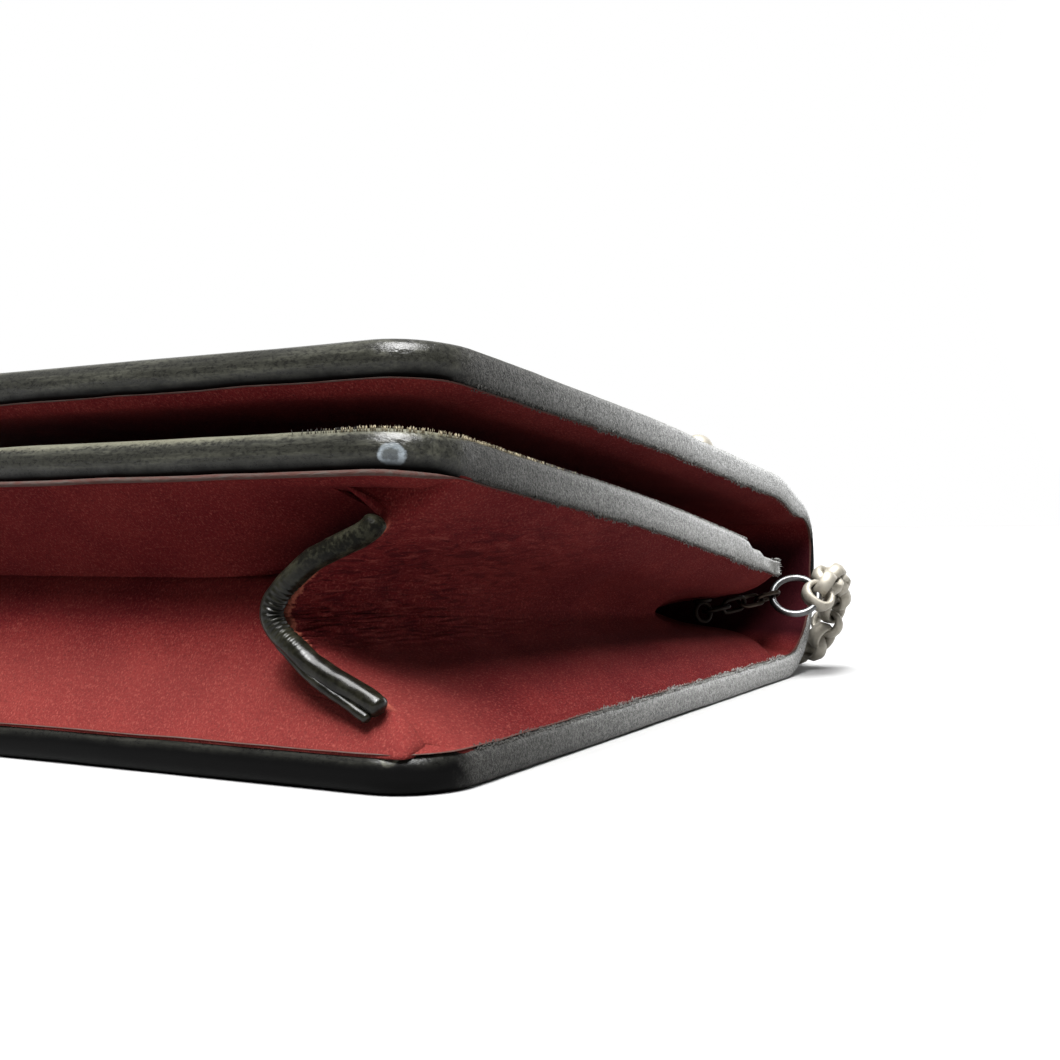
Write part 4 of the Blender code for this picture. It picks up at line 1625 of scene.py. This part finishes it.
    def pared(self, shares: Array, margin: float) -> Array:
        """Thickness of a gusset at shares across it, pared over a margin towards both seams."""
        full = np.clip(np.minimum(shares, 1.0 - shares) / margin, 0.0, 1.0)
        return self.thickness * (self.pared_edge + (1.0 - self.pared_edge) * full)

    def crease(self, run: float, y: float) -> float:
        """Height of the creases that spread from a side gusset's fold near its lower end.

        Args:
            run: Distance from the fold across the gusset.
            y: Y of the place.

        Returns:
            The height.
        """
        past = y - SIZES.y(self.start)
        short, long = self.crease_along
        near = math.exp(-((past / short) ** 2)) + 0.25 * math.exp(-((past / long) ** 2))
        middle = math.exp(-((run / self.crease_across) ** 2))
        broad = abs(ripple(run * 7.6, y, 0.0, 165.0, 3.0))
        fine = 0.45 * abs(ripple(run * 6.0, y, 0.0, 330.0, 5.0))
        return self.crease_height * near * middle * (broad + fine)

    def _side(self, side: Side) -> None:
        """Make one side gusset, with soft waves and creases.

        Args:
            side: The bag's side.
        """
        shares = joined_steps((0.0, 0.36, 30), (0.36, 0.64, 130), (0.64, 1.0, 30))
        rows, columns = self.side_rows + 1, len(shares)
        grid = np.zeros((rows, columns, 3))
        for row in range(rows):
            along = self.start + self.length * (row / self.side_rows) ** 1.5
            profile = self.profile(along)
            for column, share in enumerate(shares):
                inset, height = smooth_point(profile, share)
                grid[row, column] = (side.value * (SIZES.width / 2.0 - inset), SIZES.y(along), height)
        normal = grid_normals(grid)
        normal *= np.sign(normal[rows // 2, columns // 2, 0]) * side.value
        run = np.cumsum(np.linalg.norm(np.diff(grid, axis=1, prepend=grid[:, :1]), axis=2), axis=1)
        run -= run[:, columns // 2][:, None]
        for row in range(rows):
            for column, share in enumerate(shares):
                x, y, z = grid[row, column]
                wave = self.wave_height * ripple(x, y, z, 95.0, 9.0) * eased(min(share, 1.0 - share) / 0.08)
                grid[row, column] += normal[row, column] * (wave + self.crease(run[row, column], y))
        sheet = add_sheet(grid, normal, np.tile(self.pared(shares, self.side_pared), (rows, 1)))
        sheet.piece(f"gusset_{side.label}", (GUSSET_SUEDE,), "wine_leather", f"side_gusset_{side.label}")

    def _piping_path(self, side: Side) -> tuple[Array, int]:
        """Centre line of a piping along its gusset's lower edge, shifted a little off it.

        Args:
            side: The bag's side.

        Returns:
            The points, and the number of the innermost one, where the piping bends.
        """
        along = self.start - SIZES.gap - self.piping_radius
        route = []
        for number in range(61):
            inset, height = self.point(self.start, 1.0 / 6.0 + 4.0 / 6.0 * number / 60.0)
            route.append((side.value * (SIZES.width / 2.0 - inset), SIZES.y(along), height))
        path = even_path(route, self.piping_step)
        peak = int(np.argmin(path[:, 0] * side.value))
        away = (np.arange(len(path)) - peak) * self.piping_step
        run = np.gradient(path, axis=0)
        run /= np.linalg.norm(run, axis=1)[:, None]
        beyond = np.clip(away / self.piping_shift_run, 0.0, 1.0)
        aside = self.piping_shift * beyond - self.bend_shift * np.exp(-((away / self.bend_shift_run) ** 2))
        path[:, 0] -= side.value * run[:, 2] * aside
        path[:, 2] += side.value * run[:, 0] * aside
        return path, peak

    def _piping(self, side: Side) -> None:
        """Make the rolled piping of a side gusset, with wrinkles round its bend and a flange beside it.

        Args:
            side: The bag's side.
        """
        path, peak = self._piping_path(side)
        last = len(path) - 1
        folds = [ripple(number * 0.31, 0.0, 0.0, 1.0, 17.0) for number in range(40)]

        def radius(number: int, angle: float) -> float:
            """Radius of the roll.

            Args:
                number: The point's number.
                angle: The angle round it.

            Returns:
                The radius there.
            """
            away = (number - peak) * self.piping_step
            bend = math.exp(-((away / self.wrinkle_run) ** 2))
            inner = max(0.0, math.cos(angle - side.value * 0.5)) ** 1.5
            place = away / self.wrinkle_pitch + 20.0
            shift = folds[int(place) % len(folds)] * 0.25
            wrinkle = self.wrinkle_height * bend * inner * math.sin((place + shift * inner) * 2.0 * math.pi)
            worn = 0.00008 * ripple(*path[number], 500.0, angle)
            thin = 1.0 - 0.08 * eased((number / last - 0.85) / 0.15)
            return self.piping_radius * thin + wrinkle + worn

        made = tube(path, radius, 26, (side.value, 0.0, 0.0), 0.0008)
        flange = self._flange(path, peak, side)
        made.add(flange.points, flange.faces)
        made.piece(f"piping_{side.label}", (PIPING,), "black_piping", f"gusset_piping_{side.label}")

    def _flange(self, path: Array, peak: int, side: Side) -> MeshParts:
        """The thin flange that parts from the piping past its bend.

        Args:
            path: The piping's centre line.
            peak: The number of the point where it bends.
            side: The bag's side.

        Returns:
            The mesh.
        """
        last = len(path) - 1
        _ahead, first, second = path_frames(path, (side.value, 0.0, 0.0))
        begin = peak + int(last * self.flange_from)
        lean = math.radians(self.flange_lean)
        beside = first * math.cos(lean) + second * math.sin(lean) * side.value
        shares = np.clip((np.arange(begin, last - 1) - begin) / (last * self.flange_opens), 0.0, 1.0)
        offset = self.flange_offset[0] + self.flange_offset[1] * shares**0.9
        line = path[begin : last - 1] + beside[begin : last - 1] * offset[:, None]

        def radius(number: int, angle: float) -> float:
            """Radius of the flange at a point of its line and an angle round it."""
            return self.flange_radius * (1.0 + 0.10 * ripple(*line[number], 900.0, angle))

        return tube(line, radius, 14, (side.value, 0.0, 0.0), 0.0005)

    def _bottom_profile(self) -> list[Pair]:
        """Key points of the bottom gusset's section, from the upper seam over the fold to the lower seam.

        Returns:
            Distance from the bottom edge and height of each point.
        """
        relief = self.panels.lining_relief(SIZES.width / 2.0, self.bottom_seam_inset) + self.sink
        low = SIZES.wrap_thickness + SIZES.gap + SIZES.lining_thickness - relief
        high = self.panels.front_lining_height(self.bottom_seam_inset) + min(relief, 0.0008)
        fold = low + (high - low) * self.bottom_fold_rise
        seam, deep = self.bottom_seam_inset, self.bottom_fold_inset
        half = (seam + deep) / 2.0
        return [
            (seam, high),
            (half, (high + fold) / 2.0 + 0.0006),
            (deep - 0.0006, fold + 0.0010),
            (deep, fold),
            (deep - 0.0012, fold - 0.0010),
            (half, (low + fold) / 2.0),
            (seam, low),
        ]

    def _bottom(self) -> None:
        """Make the bottom gusset, folded inward and sewn round the side gussets' corners."""
        profile = self._bottom_profile()
        high, fold = profile[0][1], profile[3][1]
        clear = self.thickness + 2.0 * SIZES.gap
        edge = [self.point(self.start, number / 60.0) for number in range(30, 61)]
        edge_heights, edge_insets = zip(*sorted((height, inset) for inset, height in edge))
        round_low, round_high = self.wrap_round_height
        rows, columns, near_end = 79, 197, self.bottom_near_end
        grid = np.zeros((rows, columns, 3))
        for row in range(rows):
            along, height = smooth_point(profile, row / (rows - 1))
            behind = self.inset_behind(height, clear)
            joined = 1.0 - eased((height - round_low) / (round_high - round_low)) if height < fold else 0.0
            beside = float(np.interp(height, edge_heights, edge_insets))
            reach = SIZES.width / 2.0 - behind + (behind - beside + self.wrap_round_overlap) * joined
            back_run = joined * (self.start + self.wrap_round_run - along)
            upper = min(max((height - fold) / (high - fold), 0.0), 1.0)
            hollow = self.bottom_hollow * math.sin(math.pi * upper**0.8)
            round_by = self.wrap_round_bend * joined
            from_ends = joined_steps((0.0, near_end, 56), (near_end, reach + back_run, 44))
            for column in range(columns):
                place = column - (columns - 1) // 2
                from_end = from_ends[len(from_ends) - 1 - abs(place)]
                past = from_end - back_run
                in_from = (past + math.hypot(past, round_by)) / 2.0
                back = (math.hypot(past, round_by) - past) / 2.0 if joined else 0.0
                slipped = eased((back - (self.start - along)) / self.wrap_round_run)
                slip = self.wrap_round_slip * slipped * joined
                x = math.copysign(max(reach - in_from - slip, 0.0), place) * min(abs(place), 1)
                back += hollow * math.exp(-((from_end / self.bottom_hollow_reach) ** 2))
                sag = 0.0005 * ripple(x, along, height, 60.0, 21.0) + 0.00012 * ripple(x, along, height, 400.0, 22.0)
                sag *= eased(min(row, rows - 1 - row) / 8.0)
                grid[row, column] = (x, SIZES.y(along) + sag + back, height)
        normal = grid_normals(grid)
        normal *= -np.sign(normal[rows // 2, columns // 2, 1])
        pared = self.pared(np.linspace(0.0, 1.0, rows), self.bottom_pared)
        sheet = add_sheet(grid, normal, np.tile(pared[:, None], (1, columns)))
        sheet.piece("gusset_bottom", (BOTTOM_SUEDE,), "wine_leather", "bottom_gusset")


def grid_normals(grid: Array) -> Array:
    """Directions square to the surface of a grid of points."""
    normal = np.cross(np.gradient(grid, axis=0), np.gradient(grid, axis=1))
    return normal / np.linalg.norm(normal, axis=2)[:, :, None]


def add_sheet(grid: Array, normal: Array, thickness: Array) -> MeshParts:
    """A sheet with a thickness and a closed rim.

    Args:
        grid: Rows and columns of points of its middle surface.
        normal: The surface's direction at each point.
        thickness: The sheet's thickness at each point.

    Returns:
        The mesh.
    """
    rows, columns = grid.shape[:2]
    made = MeshParts()
    faces = grid_faces(rows, columns)
    normal = normal * thickness[:, :, None]
    made.add((grid + normal / 2.0).reshape(-1, 3), faces)
    back = made.add((grid - normal / 2.0).reshape(-1, 3), [face[::-1] for face in faces])
    loop = list(range(columns - 1)) + [row * columns + columns - 1 for row in range(rows - 1)]
    loop += [(rows - 1) * columns + column for column in range(columns - 1, 0, -1)]
    loop += [row * columns for row in range(rows - 1, 0, -1)]
    made.add_faces(
        (first, back + first, back + second, second) for first, second in zip(loop, loop[1:] + loop[:1])
    )
    return made


# ---- metal fittings


def wire_loop(
    length: float, width: float, wire: float, steps: int, sides: int, flat: float = 1.0
) -> tuple[Array, Faces]:
    """A loop of wire with half-round ends, in the XY plane, longest along X.

    Args:
        length: Length at the wire's centre line.
        width: Width at the wire's centre line.
        wire: The wire's radius.
        steps: Points round the loop.
        sides: Points round the wire.
        flat: The wire's height as a share of its width.

    Returns:
        The points and the faces.
    """
    radius = min(length, width) / 2.0
    straight_x, straight_y = max(length / 2.0 - radius, 0.0), max(width / 2.0 - radius, 0.0)
    points = []
    for cosine, sine in circle(steps):
        outward = np.array((cosine, sine, 0.0))
        stretch_x = math.copysign(straight_x, cosine) if abs(cosine) > 1e-6 else 0.0
        stretch_y = math.copysign(straight_y, sine) if abs(sine) > 1e-6 else 0.0
        centre = outward * radius + np.array((stretch_x, stretch_y, 0.0))
        for beside, above in circle(sides):
            points.append(centre + outward * wire * beside + np.array((0.0, 0.0, wire * flat * above)))
    return np.array(points), grid_faces(steps, sides, round_rows=True, round_columns=True)


@dataclass
class Fittings:
    """Strap eyes, connector links, rings and studs. Profiles are shares of a radius and a height."""

    gussets: Gussets
    eye_radius: float = 0.0018
    eye_wire: float = 0.00045
    plate_radius: float = 0.0018
    plate_thickness: float = 0.0007
    plate_profile: tuple[Pair, ...] = ((0.02, 0.0), (0.9, 0.0), (1.0, 0.2), (1.0, 0.75), (0.88, 1.0), (0.02, 1.15))
    eye_along: float = 0.1153
    eye_across: float = 0.24
    eye_slope: float = 0.02
    link_width: float = 0.0034
    link_wire: float = 0.00042
    link_count: int = 4
    # How many links nearest the eye take the darker painted shade.
    shaded_links: int = 2
    ring_radius: float = 0.0044
    ring_wire: float = 0.00065
    ring_outside: float = 0.0005
    ring_along: float = 0.1325
    ring_rise: float = 0.0160
    ring_turn: float = 16.7
    ring_lean: float = 40.0
    stud_radius: float = 0.0030
    stud_height: float = 0.0034
    stud_inset: float = 0.0070
    stud_along: float = 0.1000
    stud_foot: tuple[Pair, ...] = (
        (0.02, 0.0), (0.97, 0.0), (1.0, 0.03), (1.0, 0.10), (0.96, 0.14), (0.92, 0.16), (0.90, 0.22),
    )
    stud_dome: Pair = (0.90, 0.78)
    round_steps: int = 28
    stud_steps: int = 48

    def ring_frame(self, side: Side) -> Matrix:
        """Matrix of a strap ring, which is turned towards the front corner and leans back.

        Args:
            side: The bag's side.

        Returns:
            The matrix, with the ring in its XY plane.
        """
        centre = Vector(
            (side.value * (SIZES.width / 2.0 + self.ring_outside), SIZES.y(self.ring_along), self.ring_rise)
        )
        turn = Matrix.Rotation(side.value * math.radians(self.ring_turn), 4, "Z")
        lean = Matrix.Rotation(math.radians(90.0 - self.ring_lean), 4, "X")
        return Matrix.Translation(centre) @ turn @ lean

    def ring_point(self, side: Side, outer: bool) -> Vector:
        """The point of a ring's centre line that is nearest the eye, or the outer one."""
        sign = side.value if outer else -side.value
        return self.ring_frame(side) @ Vector((sign * self.ring_radius, 0.0, 0.0))

    def eye_frame(self, side: Side) -> Matrix:
        """Matrix of a strap eye: X points out of the gusset, and the XY plane passes the ring.

        Args:
            side: The bag's side.

        Returns:
            The matrix.
        """
        seat = self.gussets.point(self.eye_along, self.eye_across)
        run = self.gussets.point(self.eye_along, self.eye_across + self.eye_slope) - seat
        run /= np.linalg.norm(run)
        stand_off = self.gussets.thickness / 2.0 + SIZES.gap + self.plate_thickness + self.eye_radius
        place = seat + np.array((run[1], -run[0])) * stand_off
        centre = Vector((side.value * (SIZES.width / 2.0 - place[0]), SIZES.y(self.eye_along), place[1]))
        outward = Vector((-side.value * run[1], 0.0, -run[0]))
        upward = outward.cross(self.ring_point(side, False) - centre).normalized()
        turn = Matrix((outward, upward.cross(outward), upward)).transposed().to_4x4()
        return Matrix.Translation(centre) @ turn

    def build(self) -> None:
        """Make the fittings of both sides."""
        for side in Side:
            self._eye(side)
            self._links(side)
            self._ring(side)
            self._stud(side)

    def _loop(
        self, made: MeshParts, where: Matrix, length: float, width: float, wire: float, steps: int = 40, sides: int = 12
    ) -> None:
        """Add a loop of wire to a mesh, placed by a matrix, with its sizes at the wire's centre line."""
        points, faces = wire_loop(length, width, wire, steps, sides)
        made.add([where @ Vector(point) for point in points], faces)

    def _eye(self, side: Side) -> None:
        """Make a wire eye on its round plate.

        Args:
            side: The bag's side.
        """
        where = self.eye_frame(side)
        made = MeshParts()
        across = 2.0 * self.eye_radius
        self._loop(made, where, across, across, self.eye_wire)
        back = -self.eye_radius - self.plate_thickness
        rounds = []
        for share, height in self.plate_profile:
            reach = share * self.plate_radius
            for cosine, sine in circle(self.round_steps):
                rounds.append(where @ Vector((back + self.plate_thickness * height, reach * cosine, reach * sine)))
        made.add(rounds, grid_faces(len(self.plate_profile), self.round_steps, round_columns=True))
        made.piece(f"eye_{side.label}", (SHADED_EYE_SILVER,), "silver_metal", f"strap_eye_{side.label}")

    def _links(self, side: Side) -> None:
        """Make the small links between the eye and the ring.

        Args:
            side: The bag's side.
        """
        start = self.eye_frame(side)
        eye = start.translation
        reach = self.ring_point(side, False) - eye
        pitch = (reach.length - self.eye_radius + self.eye_wire + self.ring_wire + SIZES.gap) / self.link_count
        length = pitch + 4.0 * self.link_wire + SIZES.gap
        first = self.eye_radius - self.eye_wire - SIZES.gap / 2.0 + pitch / 2.0
        ahead = reach.normalized()
        beside = start.col[2].xyz.cross(ahead).normalized()
        above = ahead.cross(beside)
        aim = Matrix((ahead, beside, above)).transposed().to_4x4()
        ring_wire = self.ring_frame(side).col[1].xyz
        last_roll = math.atan2(-ring_wire.dot(beside), ring_wire.dot(above))
        quarter = math.pi / 2.0
        twist = (last_roll - quarter * self.link_count + quarter) % math.pi - quarter
        bar_length, bar_width = length - 2.0 * self.link_wire, self.link_width - 2.0 * self.link_wire
        for number in range(self.link_count):
            turned = quarter * (number + 1) + twist * number / (self.link_count - 1)
            where = Matrix.Translation(eye + ahead * (first + pitch * number)) @ aim @ Matrix.Rotation(turned, 4, "X")
            made = MeshParts()
            self._loop(made, where, bar_length, bar_width, self.link_wire, 32, 10)
            # The links nearest the eye take the darker painted shade.
            finish = SHADED_EYE_SILVER if number < self.shaded_links else SHADED_LINK_SILVER
            label = f"{side.label}_{number + 1}"
            made.piece(f"link_{label}", (finish,), "silver_metal", f"connector_link_{label}")

    def _stud(self, side: Side) -> None:
        """Make a domed stud on the flap, with a thin foot.

        Args:
            side: The bag's side.
        """
        line = self.gussets.panels.wrap_line()
        distance = self.stud_along - SIZES.flap_setback
        seat, ahead = (Vector(line.place(distance + step, -SIZES.gap)) for step in (0.0, self.stud_radius))
        tilt = math.atan2(ahead.y - seat.y, ahead.x - seat.x)
        x = side.value * (SIZES.width / 2.0 - self.stud_inset)
        where = Matrix.Translation((x, seat.x, seat.y)) @ Matrix.Rotation(tilt, 4, "X")
        steps, (wide, tall), foot = self.stud_steps, self.stud_dome, self.stud_foot[-1][1]
        profile = list(self.stud_foot)
        profile += [(wide * math.cos(turn), foot + tall * math.sin(turn)) for turn in np.linspace(0.10, 1.54, 12)]
        made = MeshParts()
        for share, rise in profile:
            reach, height = self.stud_radius * share, self.stud_height * rise
            made.add([where @ Vector((reach * cosine, reach * sine, height)) for cosine, sine in circle(steps)], [])
        made.add_faces(grid_faces(len(profile), steps, round_columns=True))
        last = (len(profile) - 1) * steps
        made.add_faces([tuple(reversed(range(steps))), tuple(range(last, last + steps))])
        made.piece(f"stud_{side.label}", (CHAIN_SILVER,), "silver_metal", f"flap_stud_{side.label}")

    def _ring(self, side: Side) -> None:
        """Make a strap ring.

        Args:
            side: The bag's side.
        """
        made = MeshParts()
        across = 2.0 * self.ring_radius
        self._loop(made, self.ring_frame(side), across, across, self.ring_wire, 64, 16)
        made.piece(f"ring_{side.label}", (SILVER,), "silver_metal", f"strap_ring_{side.label}")


@dataclass
class ChainStrap:
    """The chain strap: short links of flattened wire, each turned about a quarter against the last.

    Its ends' points are distances outside the bag's side, past its spine and above the floor, and its
    floor's points are X and the distance past the spine.
    """

    fittings: Fittings
    link_length: float = 0.0060
    link_width: float = 0.0068
    wire: float = 0.00070
    flat: float = 2.2
    pitch: float = 0.00308
    radius: float = 0.0035
    loop_steps: int = 16
    wire_sides: int = 6
    roll_spread: float = 0.10
    ends: tuple[Point, ...] = (
        (0.0050, -0.0115, 0.0180),
        (0.0050, -0.0055, 0.0190),
        (0.0040, 0.0016, 0.0160),
        (0.0022, 0.0026, 0.0105),
        (0.0002, 0.0006, 0.0056),
    )
    floor: tuple[Pair, ...] = (
        (0.0980, 0.0070), (0.0910, 0.0140), (0.0810, 0.0310), (0.0740, 0.0570), (0.0700, 0.0870),
        (0.0650, 0.1170), (0.0550, 0.1480), (0.0370, 0.1770), (0.0090, 0.1980), (-0.0260, 0.2070),
        (-0.0620, 0.2020), (-0.0930, 0.1820), (-0.1150, 0.1500), (-0.1270, 0.1130), (-0.1300, 0.0750),
        (-0.1250, 0.0430), (-0.1130, 0.0190),
    )

    def _end(self, side: Side) -> list[Point]:
        """Centre line of one end of the strap.

        Args:
            side: The bag's side.

        Returns:
            The points, from the ring down to the floor.
        """
        points = [tuple(self.fittings.ring_point(side, True))]
        for out, past, height in self.ends:
            points.append((side.value * (SIZES.width / 2.0 + out), SIZES.y(SIZES.height + past), height))
        return points

    def route(self) -> list[Point]:
        """Centre line of the strap, from the right ring round the spine, along the floor and back."""
        middle = [(x, SIZES.y(SIZES.height + past), self.radius) for x, past in self.floor]
        return self._end(Side.RIGHT) + middle + self._end(Side.LEFT)[::-1]

    def build(self) -> None:
        """Make the two halves of the chain."""
        path = even_path(self.route(), self.pitch)
        ahead, first, second = path_frames(path, (0.0, 0.0, 1.0))
        length, width = self.link_length - 2.0 * self.wire, self.link_width - 2.0 * self.wire
        points, faces = wire_loop(length, width, self.wire, self.loop_steps, self.wire_sides, self.flat)
        half = len(path) // 2
        for label, numbers in (("right", range(half)), ("left", range(half, len(path)))):
            made = MeshParts()
            for number in numbers:
                roll = math.pi / 4.0 * (1.0 if number % 2 else -1.0)
                roll += self.roll_spread * ripple(number * 0.37, 0.0, 0.0, 1.0, 31.0)
                beside = first[number] * math.cos(roll) + second[number] * math.sin(roll)
                above = np.cross(ahead[number], beside)
                turn = np.stack((ahead[number], beside, above))
                made.add(path[number] + points @ turn, faces)
            made.piece(f"chain_{label}", (CHAIN_SILVER,), "silver_metal", f"chain_strap_{label}")


# ---- studio


@dataclass
class Studio:
    """Floor, light and camera.

    Focal length, image width and the corner's place are in pixels, and the scale in pixels per
    millimetre. Reaches are cosines between which a patch of the surround fades in. A light has a name,
    the direction that it comes from, its strength and its spread in degrees.
    """

    floor_reach: float = 30.0
    sensor: float = 36.0
    near_clip: float = 0.005
    focal: float = 1330.0
    image: float = 1060.0
    turn: float = 27.8
    corner_at: float = 430.0
    scale: float = 9.35
    eye_height: float = 0.0292
    roll: float = -0.47
    surround: Colour = (0.42, 0.42, 0.43)
    backdrop_reach: Pair = (0.66, 0.84)
    backdrop_tone: Colour = (1.0, 1.0, 1.0)
    dark_towards: Point = (0.45, -0.89, -0.05)
    dark_reach: Pair = (0.05, 0.42)
    dark_tone: Colour = (0.04, 0.04, 0.045)
    window_towards: Point = (0.22, 0.95, 0.21)
    window_reach: Pair = (0.93, 0.975)
    window_tone: Colour = (4.6, 4.65, 4.7)
    lights: tuple[tuple[str, Point, float, float], ...] = (
        ("overhead", (0.10, -0.36, 1.0), 11.8, 44.0),
        ("lamp", (0.129, -0.483, 0.866), 2.0, 8.0),
    )

    def build(self) -> None:
        """Make the floor, the lights and the camera."""
        self._floor()
        self._lights()
        self._camera()

    def _floor(self) -> None:
        """A wide pale floor."""
        mesh = bpy.data.meshes.new("floor")
        reach = self.floor_reach
        corners = [(x * reach, y * reach, 0.0) for x, y in ((-1.0, -1.0), (1.0, -1.0), (1.0, 1.0), (-1.0, 1.0))]
        mesh.from_pydata(corners, [], [(0, 1, 2, 3)])
        mesh.materials.append(StudioFloor().material())
        floor = bpy.data.objects.new("floor", mesh)
        bpy.context.scene.collection.objects.link(floor)

    def _lights(self) -> None:
        """A grey surround with a dark front, a white backdrop and a window, and two lights from above."""
        scene = bpy.context.scene
        scene.view_settings.view_transform = "Standard"
        world = bpy.data.worlds.new("studio")
        scene.world = world
        world.use_nodes = True
        graph = Graph(world)
        ahead = graph.node("ShaderNodeTexCoord").outputs["Generated"]
        tone: object = self.surround
        angle = math.radians(self.turn)
        for towards, reach, patch in (
            (self.dark_towards, self.dark_reach, self.dark_tone),
            ((-math.sin(angle), math.cos(angle), 0.0), self.backdrop_reach, self.backdrop_tone),
            (self.window_towards, self.window_reach, self.window_tone),
        ):
            aim = tuple(Vector(towards).normalized())
            facing = graph.node("ShaderNodeVectorMath", {"operation": "DOT_PRODUCT"}, {0: ahead, 1: aim})
            tone = graph.blend(Value(graph, facing.outputs[1]).rise(*reach), tone, patch)
        graph.feed(world.node_tree.nodes["Background"].inputs[0], tone)
        for name, place, power, spread in self.lights:
            light = bpy.data.lights.new(name, "SUN")
            light.energy = power
            light.angle = math.radians(spread)
            lamp = bpy.data.objects.new(name, light)
            lamp.rotation_euler = (-Vector(place)).to_track_quat("-Z", "Y").to_euler()
            scene.collection.objects.link(lamp)

    def _camera(self) -> None:
        """The camera at the photograph's viewing angle."""
        angle = math.radians(self.turn)
        depth = self.focal / self.scale / 1000.0
        right = Vector((math.cos(angle), math.sin(angle), 0.0))
        forward = Vector((-math.sin(angle), math.cos(angle), 0.0))
        corner = Vector((SIZES.width / 2.0, -SIZES.height / 2.0, 0.0))
        eye = corner - forward * depth - right * ((self.corner_at - self.image / 2.0) * depth / self.focal)
        eye.z = self.eye_height
        data = bpy.data.cameras.new("camera")
        data.sensor_width = self.sensor
        data.lens = self.sensor * self.focal / self.image
        data.clip_start = self.near_clip
        camera = bpy.data.objects.new("camera", data)
        bpy.context.scene.collection.objects.link(camera)
        turn = Matrix.Rotation(angle, 4, "Z") @ Matrix.Rotation(math.pi / 2.0, 4, "X")
        camera.matrix_world = Matrix.Translation(eye) @ turn @ Matrix.Rotation(math.radians(self.roll), 4, "Z")
        bpy.context.scene.camera = camera


def main() -> None:
    """Build the bag's looks in order."""
    logging.basicConfig(level=logging.INFO, format="%(name)s %(message)s")
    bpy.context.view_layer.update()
    panels = Panels()
    panels.build()
    gussets = Gussets(panels)
    gussets.build()
    fittings = Fittings(gussets)
    fittings.build()
    ChainStrap(fittings).build()
    Studio().build()


if __name__ == "__main__":
    main()
